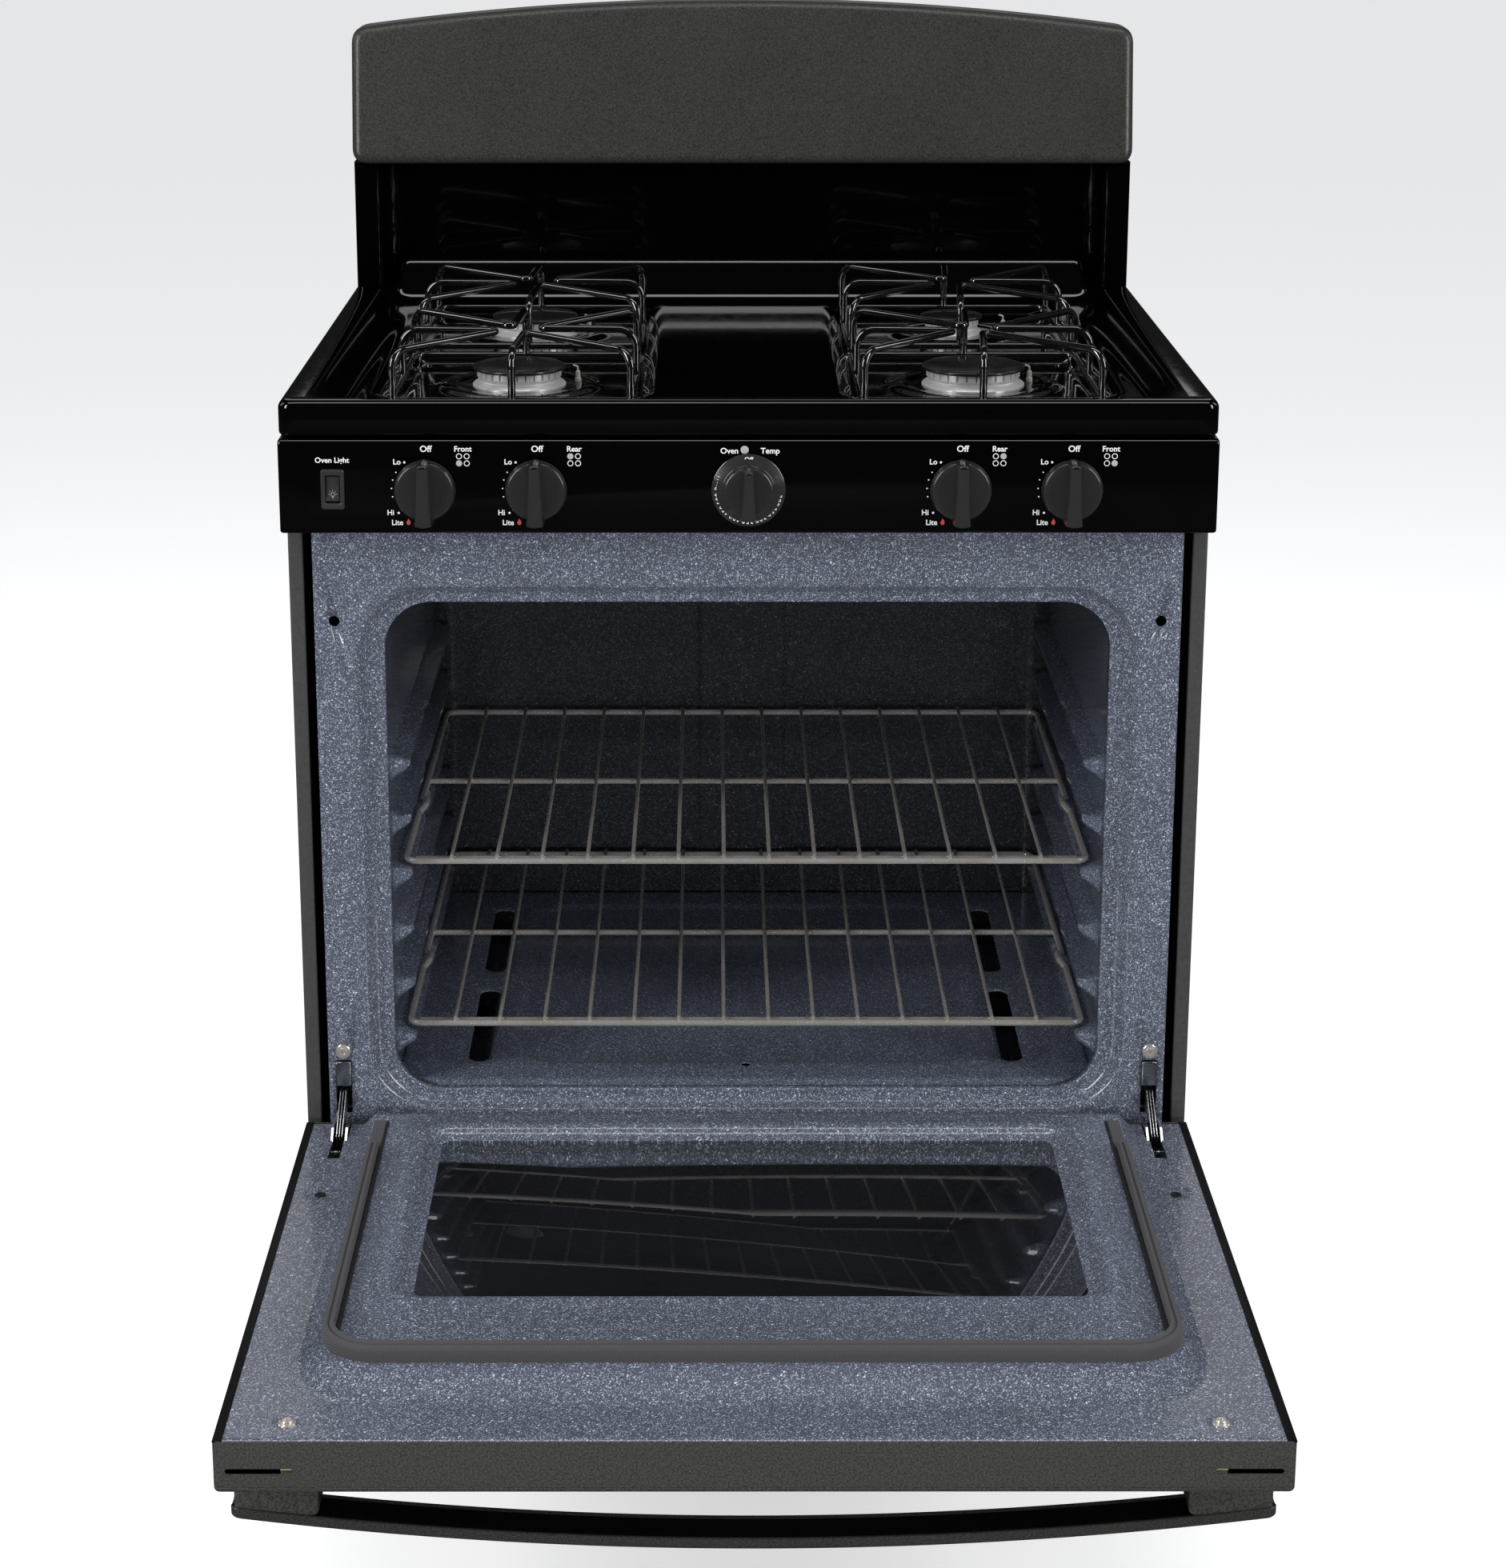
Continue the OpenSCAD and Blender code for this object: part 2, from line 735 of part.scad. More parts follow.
module door_shell() {
    slot_z = door_low + 17;
    color([0.24, 0.24, 0.235]) in_frame() difference() {
        box(-door_half, door_half, -door_reach, door_near, door_low, door_high);
        box(-door_half + sheet, door_half - sheet, -door_reach + sheet, door_near - sheet,
            door_low + sheet, door_high + 1);
        translate([0, 0, door_low - 5]) linear_extrude(20)
            window_outline(0);
        both_sides() box(322, 370, -door_reach - 5, -door_reach + 5, slot_z - 2.2, slot_z + 2.2);
        both_sides() box(hinge_x - 9, hinge_x + 9, -30, 0, door_low + 5, door_high + 5);
    }
}

module door_outer_glass() {
    color([0.03, 0.03, 0.035]) in_frame()
        box(-window_half - 12, window_half + 12, window_far - 12, window_near + 12, door_low + sheet,
            door_low + 5.5);
}

// Liner: flat flange, raised plateau with a long sloped far side, and the window opening's turned-in edge
module liner_block(inset) {
    along_x(-plateau_half + inset, plateau_half - inset) polygon([
        [plateau_near - inset, door_high - 5], [plateau_near - inset, plateau_z - inset],
        [plateau_far + inset / 2, plateau_z - inset], [plateau_far - 34 + inset, door_high - inset],
        [plateau_far - 34 + inset, door_high - 5]]);
}

module liner_sheet() {
    difference() {
        union() {
            box(-door_half + sheet, door_half - sheet, -door_reach + sheet, door_near - sheet,
                door_high - sheet, door_high);
            intersection() {
                liner_block(0);
                translate([0, 0, door_high - 4]) linear_extrude(40)
                    round_rect(-plateau_half, plateau_half, plateau_far - 34, plateau_near, 22);
            }
        }
        difference() {
            liner_block(sheet);
            box(-400, 400, -600, 0, door_high - 50, door_high - sheet - 2.5);
        }
        translate([0, 0, door_high]) linear_extrude(40) window_outline(0);
        both_sides() box(hinge_x - 8, hinge_x + 8, -90, -5, door_high - 5, door_high + 5);
    }
}

module window_outline(grow) {
    round_rect(-window_half - grow, window_half + grow, window_far - grow, window_near + grow, 16 + grow);
}

module door_liner() {
    edge_low = door_high + 5.2;
    color([0.33, 0.36, 0.43]) in_frame() union() {
        liner_sheet();
        translate([0, 0, edge_low]) linear_extrude(plateau_z - edge_low) difference() {
            window_outline(sheet);
            window_outline(0);
        }
    }
}

module door_inner_glass() {
    color([0.05, 0.055, 0.06]) in_frame()
        box(-window_half - 12, window_half + 12, window_far - 12, window_near + 12, door_high + 1, door_high + 5);
}

// Three-sided gasket. Its bead ends short of the hinge side, and flat tails run on past the frame's corners
module door_gasket() {
    far = -472;
    bead_end = -92;
    tail_end = -42;
    tail_high = 1.5;
    in_x = gasket_out - gasket_wide;
    color([0.09, 0.085, 0.085]) in_frame() translate([0, 0, plateau_z]) {
        linear_extrude(gasket_high) difference() {
            round_rect(-gasket_out, gasket_out, far, 0, 44);
            round_rect(-in_x, in_x, far + gasket_wide, 60, 30);
            translate([-half, bead_end]) square([width, half]);
        }
        both_sides() box(in_x, gasket_out, bead_end - 1, tail_end, 0, tail_high);
    }
}

module door_insulation() {
    color([0.82, 0.78, 0.66]) in_frame() difference() {
        box(-332, 332, -door_reach + 8, -22, door_low + 6, door_high - 4.5);
        box(-window_half - 16, window_half + 16, window_far - 16, window_near + 16, 200, 330);
    }
}

// Both handle pieces hang below the open door
module handle_brackets() {
    color([0.24, 0.24, 0.235]) in_frame() both_sides()
        box(bracket_in, bracket_out, handle_far + 2, handle_near - 2, bracket_low, door_low);
}

module door_handle() {
    bow = 25;
    thick = 8;
    tip = 372;
    low = door_low - 60;
    bow_r = (tip * tip + bow * bow) / (2 * bow);
    color([0.2, 0.2, 0.2]) in_frame() difference() {
        intersection() {
            translate([0, handle_near, low + bow_r]) rotate([90, 0, 0])
                cylinder(h = handle_near - handle_far, r = bow_r, $fn = 720);
            box(-tip, tip, handle_far - 1, handle_near + 1, low - 1, door_low - 2);
        }
        translate([0, handle_near + 1, low + bow_r]) rotate([90, 0, 0])
            cylinder(h = handle_near - handle_far + 2, r = bow_r - thick, $fn = 720);
        both_sides() box(bracket_in, bracket_out, handle_far + 2, handle_near - 2, bracket_low, door_low);
    }
}

// Screw with a washer head, standing on a face at z
module screw_up(x, y, z) {
    rod_z(z, z + 1.2, x, y, 6.5);
    rod_z(z + 1.2, z + 3.4, x, y, 4);
}

module door_screws() {
    color([0.8, 0.8, 0.8]) in_frame() both_sides() {
        screw_up(329, -538, door_high);
        screw_up(350, -158, door_high);
    }
}

module frame_screws() {
    screw_z = 347;
    color([0.8, 0.8, 0.8]) in_frame() for (x = [-hinge_x, hinge_x]) {
        rod_y(-1.2, 0, x, screw_z, 6);
        rod_y(-3.4, -1.2, x, screw_z, 4);
    }
}

// ---- storage drawer ----

module drawer_box() {
    color([0.5, 0.51, 0.52]) in_frame() difference() {
        box(-345, 345, -28, 530, 72, 190);
        box(-345 + sheet, 345 - sheet, -28 + sheet, 530 - sheet, 72 + sheet, 200);
    }
}

module drawer_front() {
    color([0.24, 0.24, 0.235]) in_frame() difference() {
        box(-door_half, door_half, -50, -28, drawer_low, drawer_top);
        box(-door_half + sheet, door_half - sheet, -50 + sheet, -20, drawer_low + sheet,
            drawer_top - sheet);
    }
    color([0.24, 0.24, 0.235]) in_frame() box(-330, 330, -28 - sheet, -28, 80, 200);
}

// ---- grates ----

// One bent wire: up from a corner, in towards the middle, out to the middle of a side, and down
module grate_finger(corner, side, near, base_z, top_z) {
    r = grate_wire / 2 - 0.3;
    a1 = [corner[0], corner[1], top_z];
    m = [near[0], near[1], top_z];
    b1 = [side[0], side[1], top_z];
    bar([corner[0], corner[1], base_z], a1, r);
    bar(a1, m, r);
    bar(b1, m, r - 0.2);
    bar([side[0], side[1], base_z], b1, r);
    for (p = [a1, m, b1]) translate(p) sphere(r = r + 0.5, $fn = 24);
}

module grate(x, y) {
    gx = 104 - grate_wire / 2;
    gy = 112 - grate_wire / 2;
    base_z = well_z + 7;
    top_z = rim_z + 26;
    near = 15;
    aside = 5;
    r = grate_wire / 2;
    translate([x, y, 0]) {
        for (s = [-1, 1]) {
            rod_x(-gx, gx, s * gy, base_z, r);
            rod_y(-gy, gy, s * gx, base_z, r);
        }
        for (sx = [-1, 1], sy = [-1, 1]) {
            translate([sx * gx, sy * gy, base_z]) sphere(r = r + 0.4, $fn = 24);
            rod_z(well_z + 0.2, base_z, sx * gx, sy * gy, 2.5);
        }
        grate_finger([-gx, gy], [0, gy], [-aside, near], base_z, top_z);
        grate_finger([-gx, -gy], [-gx, 0], [-near, -aside], base_z, top_z);
        grate_finger([gx, -gy], [0, -gy], [aside, -near], base_z, top_z);
        grate_finger([gx, gy], [gx, 0], [near, aside], base_z, top_z);
    }
}

module grate_left_front() { color([0.03, 0.03, 0.03]) in_frame() grate(-burner_x, front_burner_y); }
module grate_left_rear() { color([0.03, 0.03, 0.03]) in_frame() grate(-burner_x, rear_burner_y); }
module grate_right_front() { color([0.03, 0.03, 0.03]) in_frame() grate(burner_x, front_burner_y); }
module grate_right_rear() { color([0.03, 0.03, 0.03]) in_frame() grate(burner_x, rear_burner_y); }

side_panels();
back_panel();
base_frame();
leveling_legs();
oven_front_frame();
oven_cavity();
oven_floor();
oven_burner();
oven_igniter();
broil_burner();
oven_insulation();
oven_lamp();
cooktop();
burner_heads();
burner_caps();
spark_electrodes();
burner_tubes();
manifold_pipe();
burner_valves();
oven_thermostat();
pressure_regulator();
control_panel();
switch_housing();
backguard_panel();
backguard_rear_cover();
backsplash();
hinge_receivers();
hinge_arms();
frame_screws();
drawer_rails();
door_shell();
door_outer_glass();
door_liner();
door_inner_glass();
door_gasket();
door_insulation();
door_handle();
handle_brackets();
hinge_channels();
hinge_springs();
door_screws();
drawer_box();
drawer_front();
upper_rack();
lower_rack();
light_rocker();
stem_left_front();
stem_left_rear();
stem_oven();
stem_right_rear();
stem_right_front();
knob_left_front();
knob_left_rear();
oven_dial();
knob_right_rear();
knob_right_front();
grate_left_front();
grate_left_rear();
grate_right_front();
grate_right_rear();
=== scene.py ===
# Looks of the freestanding gas range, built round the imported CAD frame.
# Sizes are in millimetres; Y is counted from the plane of the oven's front frame (see place()).
import json
import math
import bmesh
import bpy
import numpy as np
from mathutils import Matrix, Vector


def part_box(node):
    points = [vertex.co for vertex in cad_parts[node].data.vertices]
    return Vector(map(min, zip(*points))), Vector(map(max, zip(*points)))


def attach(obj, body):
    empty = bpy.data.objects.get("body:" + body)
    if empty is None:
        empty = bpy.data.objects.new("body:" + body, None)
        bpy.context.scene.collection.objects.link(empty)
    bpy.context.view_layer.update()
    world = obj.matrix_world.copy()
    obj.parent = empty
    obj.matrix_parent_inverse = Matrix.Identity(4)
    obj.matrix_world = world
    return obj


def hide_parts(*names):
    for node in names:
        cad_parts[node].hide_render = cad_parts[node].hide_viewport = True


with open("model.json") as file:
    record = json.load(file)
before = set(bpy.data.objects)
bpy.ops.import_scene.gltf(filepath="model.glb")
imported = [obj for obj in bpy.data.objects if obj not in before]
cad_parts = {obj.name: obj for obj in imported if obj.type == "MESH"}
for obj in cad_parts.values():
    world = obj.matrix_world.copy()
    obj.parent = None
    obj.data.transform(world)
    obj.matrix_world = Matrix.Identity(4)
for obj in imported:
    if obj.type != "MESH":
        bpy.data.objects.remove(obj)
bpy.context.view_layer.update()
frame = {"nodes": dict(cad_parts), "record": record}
MM = 0.001
FRONT_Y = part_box("oven_front_frame")[0].y


def place(points):
    """Millimetres with Y from the oven's front frame, to metres in the model's frame."""
    p = np.asarray(points, float) * MM
    p[:, 1] += FRONT_Y
    return p


class Box:
    """A CAD node's box, in this script's millimetres."""

    def __init__(self, node):
        low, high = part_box(node)
        self.x0, self.x1 = low.x / MM, high.x / MM
        self.y0, self.y1 = (low.y - FRONT_Y) / MM, (high.y - FRONT_Y) / MM
        self.z0, self.z1 = low.z / MM, high.z / MM
        self.x, self.z = (self.x0 + self.x1) / 2, (self.z0 + self.z1) / 2


HINGE_X = Box("frame_screws").x1 - 6


def new_object(name, data):
    """An object made from its data and linked into the scene."""
    obj = bpy.data.objects.new(name, data)
    bpy.context.scene.collection.objects.link(obj)
    return obj


def make_camera():
    """Seen from the front and above, like a tall product photograph."""
    data = bpy.data.cameras.new("camera")
    data.sensor_width = 36
    data.lens = 74.25
    data.shift_x, data.shift_y = 0.0246, -0.096
    cam = new_object("camera", data)
    cam.location = (-0.0294, -2.6182, 1.4156)
    cam.rotation_euler = (math.radians(90 - 15.02), 0, math.radians(-0.04))
    bpy.context.scene.camera = cam


make_camera()

# ---------------------------------------------------------------- mesh making


def add_mesh(name, verts, faces, material, body, node=(), slot=None, sharp=32, thickness=None):
    """A piece from millimetre points. node is the CAD node or nodes that it stands for, edges bent by more
    than sharp degrees stay crisp, and thickness makes a sheet solid."""
    mesh = bpy.data.meshes.new(name)
    mesh.from_pydata([tuple(v) for v in place(verts)], [], [tuple(map(int, f)) for f in faces])
    bm = bmesh.new()
    bm.from_mesh(mesh)
    bmesh.ops.remove_doubles(bm, verts=bm.verts, dist=1e-6)
    bmesh.ops.recalc_face_normals(bm, faces=bm.faces)
    limit = math.radians(sharp)
    for e in bm.edges:
        if len(e.link_faces) == 2 and e.calc_face_angle(0) > limit:
            e.smooth = False
    for f in bm.faces:
        f.smooth = True
    bm.to_mesh(mesh)
    bm.free()
    obj = new_object(name, mesh)
    obj.data.materials.append(MATERIALS[material])
    if thickness:
        solid = obj.modifiers.new("sheet", "SOLIDIFY")
        solid.thickness, solid.offset = thickness * MM, -1
    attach(obj, body)
    nodes = (node,) if isinstance(node, str) else tuple(node)
    if nodes:
        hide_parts(*nodes)
    return obj


def merge(parts):
    """Joins several (verts, faces) into one."""
    verts, faces, start = [], [], 0
    for v, f in parts:
        verts.extend(map(tuple, v))
        faces.extend([tuple(i + start for i in face) for face in f])
        start += len(v)
    return verts, faces


def loft(rings, closed=True, cap=(False, False)):
    """Quads between successive rings of the same number of points."""
    n = len(rings[0])
    verts = [tuple(p) for ring in rings for p in ring]
    faces = []
    for k in range(len(rings) - 1):
        for i in range(n if closed else n - 1):
            j = (i + 1) % n
            faces.append((k * n + i, k * n + j, (k + 1) * n + j, (k + 1) * n + i))
    if cap[0]:
        faces.append(tuple(range(n - 1, -1, -1)))
    if cap[1]:
        last = (len(rings) - 1) * n
        faces.append(tuple(range(last, last + n)))
    return verts, faces


def round_rect(x0, x1, y0, y1, r, arc=8, step=None):
    """Closed outline, counter-clockwise from the right side's upper end. step divides the straight sides."""
    corners = [(x1 - r, y1 - r, 0), (x0 + r, y1 - r, 90), (x0 + r, y0 + r, 180), (x1 - r, y0 + r, 270)]
    pts = []
    for k, (cx, cy, a0) in enumerate(corners):
        for i in range(arc + 1):
            a = math.radians(a0 + 90 * i / arc)
            pts.append((cx + r * math.cos(a), cy + r * math.sin(a)))
        if step:
            nx, ny, na = corners[(k + 1) % 4]
            a = math.radians(na)
            end = np.array([nx + r * math.cos(a), ny + r * math.sin(a)])
            start = np.array(pts[-1])
            count = step[k % 2]
            pts.extend(tuple(start + (end - start) * i / count) for i in range(1, count))
    return np.array(pts)


def inset(outline, d):
    """Moves a counter-clockwise outline inwards by d along its vertex normals."""
    p = np.asarray(outline, float)
    tangent = np.roll(p, -1, 0) - np.roll(p, 1, 0)
    tangent /= np.linalg.norm(tangent, axis=1)[:, None] + 1e-12
    return p + d * np.column_stack([-tangent[:, 1], tangent[:, 0]])


def slab(outline, h0, h1, r0, r1, to3d, steps=4, draft=0.0):
    """An outline drawn from height h0 to h1, with rounded edges of radius r0 and r1 at the two ends."""
    rings = []

    def at(h, d):
        rings.append([to3d(a, b, h) for a, b in inset(outline, d)])

    sign = 1 if h1 > h0 else -1
    for i in range(steps + 1 if r0 else 1):
        a = math.pi / 2 * i / steps
        at(h0 + sign * r0 * (1 - math.cos(a)) if r0 else h0, r0 * (1 - math.sin(a)) if r0 else 0)
    for i in range(steps + 1 if r1 else 1):
        a = math.pi / 2 * i / steps
        at(h1 - sign * r1 * (1 - math.sin(a)) if r1 else h1, draft + (r1 * (1 - math.cos(a)) if r1 else 0))
    return loft(rings, cap=(True, True))


def along_x(a, b, h):
    return (h, a, b)


def along_y(a, b, h):
    return (a, h, b)


def along_z(a, b, h):
    return (a, b, h)


def level(outline, z):
    """A plan outline as a ring at one height."""
    return [(x, y, z) for x, y in outline]


def upright(outline, y):
    """A front-view outline as a ring at one depth."""
    return [(x, y, z) for x, z in outline]


def box_part(x0, x1, y0, y1, z0, z1, r=0.8, steps=2):
    """A box with its edges rounded."""
    return slab(round_rect(x0, x1, y0, y1, max(r, 0.05), arc=steps), z0, z1, r, r, along_z, steps)


def arc_path(points, radii, n=6, closed=False):
    """A polyline with its corners turned into arcs. radii is one number, or one for each point."""
    pts = [np.array(p, float) for p in points]
    count = len(pts)
    if np.isscalar(radii):
        radii = [radii] * count
    out = []
    for i, p in enumerate(pts):
        if not closed and i in (0, count - 1):
            out.append(p)
            continue
        a, b = pts[i - 1] - p, pts[(i + 1) % count] - p
        la, lb = np.linalg.norm(a), np.linalg.norm(b)
        a, b = a / la, b / lb
        half = math.acos(max(-1, min(1, float(a @ b)))) / 2
        cut = min(radii[i] / math.tan(half), la * 0.49, lb * 0.49) if half > 1e-3 else 0
        if cut < 1e-6 or half > math.pi / 2 - 1e-4:
            out.append(p)
            continue
        r = cut * math.tan(half)
        centre = p + (a + b) / np.linalg.norm(a + b) * r / math.sin(half)
        u, v = p + a * cut - centre, p + b * cut - centre
        total = math.pi - 2 * half
        for k in range(n + 1):
            t = k / n
            w = (math.sin((1 - t) * total) * u + math.sin(t * total) * v) / math.sin(total)
            out.append(centre + w)
    return out


def tube(points, r, sides=12, closed=False, caps=True):
    """A round wire along points, with frames carried along so that it doesn't twist."""
    p = np.array(points, float)
    n = len(p)
    if closed:
        t = np.roll(p, -1, 0) - np.roll(p, 1, 0)
    else:
        t = np.gradient(p, axis=0)
    t /= np.linalg.norm(t, axis=1)[:, None] + 1e-12
    side = np.cross(t[0], (0, 0, 1) if abs(t[0][2]) < 0.9 else (1, 0, 0))
    side /= np.linalg.norm(side)
    rings = []
    for i in range(n):
        side = side - t[i] * (side @ t[i])
        side /= np.linalg.norm(side)
        other = np.cross(t[i], side)
        rings.append([p[i] + r * (math.cos(a) * side + math.sin(a) * other)
                      for a in np.linspace(0, 2 * math.pi, sides, endpoint=False)])
    if closed:
        rings.append(rings[0])
    return loft(rings, cap=(caps and not closed, caps and not closed))


def lathe(profile, centre, axis="z", n=48, radius_at=None, hoop=False):
    """Turns (radius, height) points round an axis through centre. radius_at(r, h, angle) can shape the
    radius, and hoop joins the last point to the first, for a ring."""
    rings = []
    for r, h in profile:
        ring = []
        for k in range(n):
            a = 2 * math.pi * k / n
            rr = radius_at(r, h, a) if radius_at else r
            u, v = rr * math.cos(a), rr * math.sin(a)
            offset = {"z": (u, v, h), "y": (u, h, v), "x": (h, u, v)}[axis]
            ring.append(tuple(np.add(centre, offset)))
        rings.append(ring)
    if hoop:
        return loft(rings + rings[:1])
    return loft(rings, cap=(profile[0][0] > 1e-6, profile[-1][0] > 1e-6))


def smooth(t):
    """An eased step from 0 to 1."""
    t = np.clip(t, 0, 1)
    return t * t * (3 - 2 * t)


def rect_distance(x, y, x0, x1, y0, y1, r):
    """Signed distance to a rounded rectangle, negative inside."""
    qx = np.abs(x - (x0 + x1) / 2) - (x1 - x0) / 2 + r
    qy = np.abs(y - (y0 + y1) / 2) - (y1 - y0) / 2 + r
    outside = np.hypot(np.maximum(qx, 0), np.maximum(qy, 0))
    return outside + np.minimum(np.maximum(qx, qy), 0) - r


def lines(a, b, step, extra=()):
    """Grid lines from a to b, about step apart, with extra ones where an edge has to be crisp."""
    base = np.linspace(a, b, max(2, round((b - a) / step) + 1))
    extra = np.array([e for e in extra if a <= e <= b])
    keep = [v for v in base if not len(extra) or np.min(np.abs(extra - v)) > step * 0.3 or v in (a, b)]
    return np.unique(np.round(np.concatenate([keep, extra]), 4))


def height_grid(xs, ys, height, keep=None):
    """A sheet z = height(x, y) over grid lines. keep(x, y) says which cells, by their middles, are there."""
    gx, gy = np.meshgrid(xs, ys)
    gz = height(gx, gy)
    nx = len(xs)
    verts = np.column_stack([gx.ravel(), gy.ravel(), gz.ravel()])
    mx, my = (xs[1:] + xs[:-1]) / 2, (ys[1:] + ys[:-1]) / 2
    there = np.ones((len(my), len(mx)), bool) if keep is None else keep(*np.meshgrid(mx, my))
    faces = [(j * nx + i, j * nx + i + 1, (j + 1) * nx + i + 1, (j + 1) * nx + i)
             for j, i in zip(*np.nonzero(there))]
    return verts, faces


def mirrored(part):
    """The same part on the other side of the middle."""
    v, f = part
    return [(-x, y, z) for x, y, z in v], [tuple(reversed(face)) for face in f]


def both(part):
    """A part and its mirror image."""
    return merge([part, mirrored(part)])


def moved(part, dx=0, dy=0, dz=0):
    """The same part somewhere else."""
    v, f = part
    return [(x + dx, y + dy, z + dz) for x, y, z in v], f


def cut(obj, *solids):
    """Cuts closed (verts, faces) solids out of a closed piece."""
    for verts, faces in solids:
        mesh = bpy.data.meshes.new("cutter")
        mesh.from_pydata([tuple(v) for v in place(verts)], [], [tuple(map(int, f)) for f in faces])
        bm = bmesh.new()
        bm.from_mesh(mesh)
        bmesh.ops.recalc_face_normals(bm, faces=bm.faces)
        bm.to_mesh(mesh)
        bm.free()
        cutter = new_object("cutter", mesh)
        mod = obj.modifiers.new("cut", "BOOLEAN")
        mod.solver, mod.object = "EXACT", cutter
        bpy.context.view_layer.update()
        done = bpy.data.meshes.new_from_object(obj.evaluated_get(bpy.context.evaluated_depsgraph_get()))
        obj.modifiers.clear()
        obj.data = done
        bpy.data.objects.remove(cutter)


def capsule(x0, x1, z0, z1, r, to3d, h0, h1):
    """A prism with a rounded rectangle for its section, used as a cutter."""
    return slab(round_rect(x0, x1, z0, z1, r, 6), h0, h1, 0, 0, to3d)


# ---------------------------------------------------------------- materials


MATERIALS = {}


def times(colour, k):
    """A colour made darker or lighter."""
    return tuple(c * k for c in colour)


class Nodes:
    """Short names for the nodes that the materials use."""

    def __init__(self, name, **sockets):
        self.mat = bpy.data.materials.new(name)
        self.mat.use_nodes = True
        self.tree = self.mat.node_tree
        self.shader = self.tree.nodes["Principled BSDF"]
        for key, value in sockets.items():
            self.shader.inputs[key.replace("_", " ")].default_value = value
        self.coords = self.tree.nodes.new("ShaderNodeTexCoord").outputs["Object"]

    def link(self, a, b):
        self.tree.links.new(a, b)
        return b

    def noise(self, scale, detail=3.0, stretch=None):
        n = self.tree.nodes.new("ShaderNodeTexNoise")
        n.inputs["Scale"].default_value, n.inputs["Detail"].default_value = scale, detail
        self.link(self.stretched(stretch), n.inputs["Vector"])
        return n.outputs["Fac"]

    def stretched(self, stretch):
        if stretch is None:
            return self.coords
        m = self.tree.nodes.new("ShaderNodeMapping")
        m.inputs["Scale"].default_value = stretch
        self.link(self.coords, m.inputs["Vector"])
        return m.outputs["Vector"]

    def cells(self, scale, feature="F1", output="Distance"):
        n = self.tree.nodes.new("ShaderNodeTexVoronoi")
        n.feature = feature
        n.inputs["Scale"].default_value = scale
        self.link(self.coords, n.inputs["Vector"])
        return n.outputs[output]

    def ramp(self, value, stops):
        n = self.tree.nodes.new("ShaderNodeValToRGB")
        ramp = n.color_ramp
        while len(ramp.elements) < len(stops):
            ramp.elements.new(0.5)
        for e, (at, colour) in zip(ramp.elements, stops):
            e.position = at
            e.color = (*colour, 1) if not np.isscalar(colour) else (colour, colour, colour, 1)
        self.link(value, n.inputs["Fac"])
        return n.outputs["Color"]

    def mix(self, fac, a, b):
        n = self.tree.nodes.new("ShaderNodeMix")
        n.data_type = "RGBA"
        for socket, value in ((n.inputs[0], fac), (n.inputs[6], a), (n.inputs[7], b)):
            if isinstance(value, bpy.types.NodeSocket):
                self.link(value, socket)
            else:
                socket.default_value = value if np.isscalar(value) else (*value, 1)
        return n.outputs[2]

    def colour(self, value):
        self.link(value, self.shader.inputs["Base Color"])

    def roughness(self, value):
        self.link(value, self.shader.inputs["Roughness"])

    def bump(self, value, strength, depth=0.0002):
        n = self.tree.nodes.new("ShaderNodeBump")
        n.inputs["Strength"].default_value, n.inputs["Distance"].default_value = strength, depth
        previous = self.shader.inputs["Normal"]
        if previous.is_linked:
            self.link(previous.links[0].from_socket, n.inputs["Normal"])
        self.link(value, n.inputs["Height"])
        self.link(n.outputs["Normal"], previous)

    def done(self, name):
        MATERIALS[name] = self.mat


def enamel(name, base, gloss=0.07, ripple=0.05, coat=0.4):
    """Glossy porcelain enamel: a little waviness, fine dust in the gloss."""
    m = Nodes(name, Coat_Weight=coat, Coat_Roughness=0.04, Specular_IOR_Level=coat)
    cloud = m.noise(9, 4)
    m.colour(m.ramp(cloud, [(0.3, times(base, 0.8)), (0.7, times(base, 1.25))]))
    m.roughness(m.ramp(m.noise(160, 5), [(0.35, gloss), (0.75, gloss * 2.2)]))
    m.bump(m.noise(55, 2), ripple, 0.0003)
    m.bump(m.noise(900, 2), 0.03, 0.0001)
    m.done(name)


def speckled(name, base, light, rough=0.16, shine=0.5):
    """Porcelain with fine light and dark specks in it, as oven linings have."""
    m = Nodes(name, Coat_Weight=shine, Coat_Roughness=0.08, Specular_IOR_Level=0.5)
    fine = m.ramp(m.cells(1400, output="Color"), [(0.0, 0.0), (0.68, 0.0), (0.78, 0.5), (1.0, 1.0)])
    coarse = m.ramp(m.cells(800, output="Color"), [(0.0, 0.0), (0.84, 0.0), (0.92, 0.6), (1.0, 1.0)])
    cloud = m.mix(m.noise(6, 3), times(base, 0.78), times(base, 1.22))
    dark = m.ramp(m.cells(1100, output="Color"), [(0.0, 0.35), (0.3, 1.0), (1.0, 1.0)])
    shaded = m.tree.nodes.new("ShaderNodeMix")
    shaded.data_type, shaded.blend_type = "RGBA", "MULTIPLY"
    shaded.inputs[0].default_value = 0.7
    m.link(cloud, shaded.inputs[6])
    m.link(dark, shaded.inputs[7])
    with_fine = m.mix(fine, shaded.outputs[2], light)
    m.colour(m.mix(coarse, with_fine, tuple(min(1, c * 1.5) for c in light)))
    m.roughness(m.ramp(m.noise(300, 3), [(0.3, rough), (0.8, rough * 1.9)]))
    m.bump(m.cells(1300), 0.12, 0.0002)
    m.bump(m.noise(40, 3), 0.05, 0.0004)
    m.done(name)


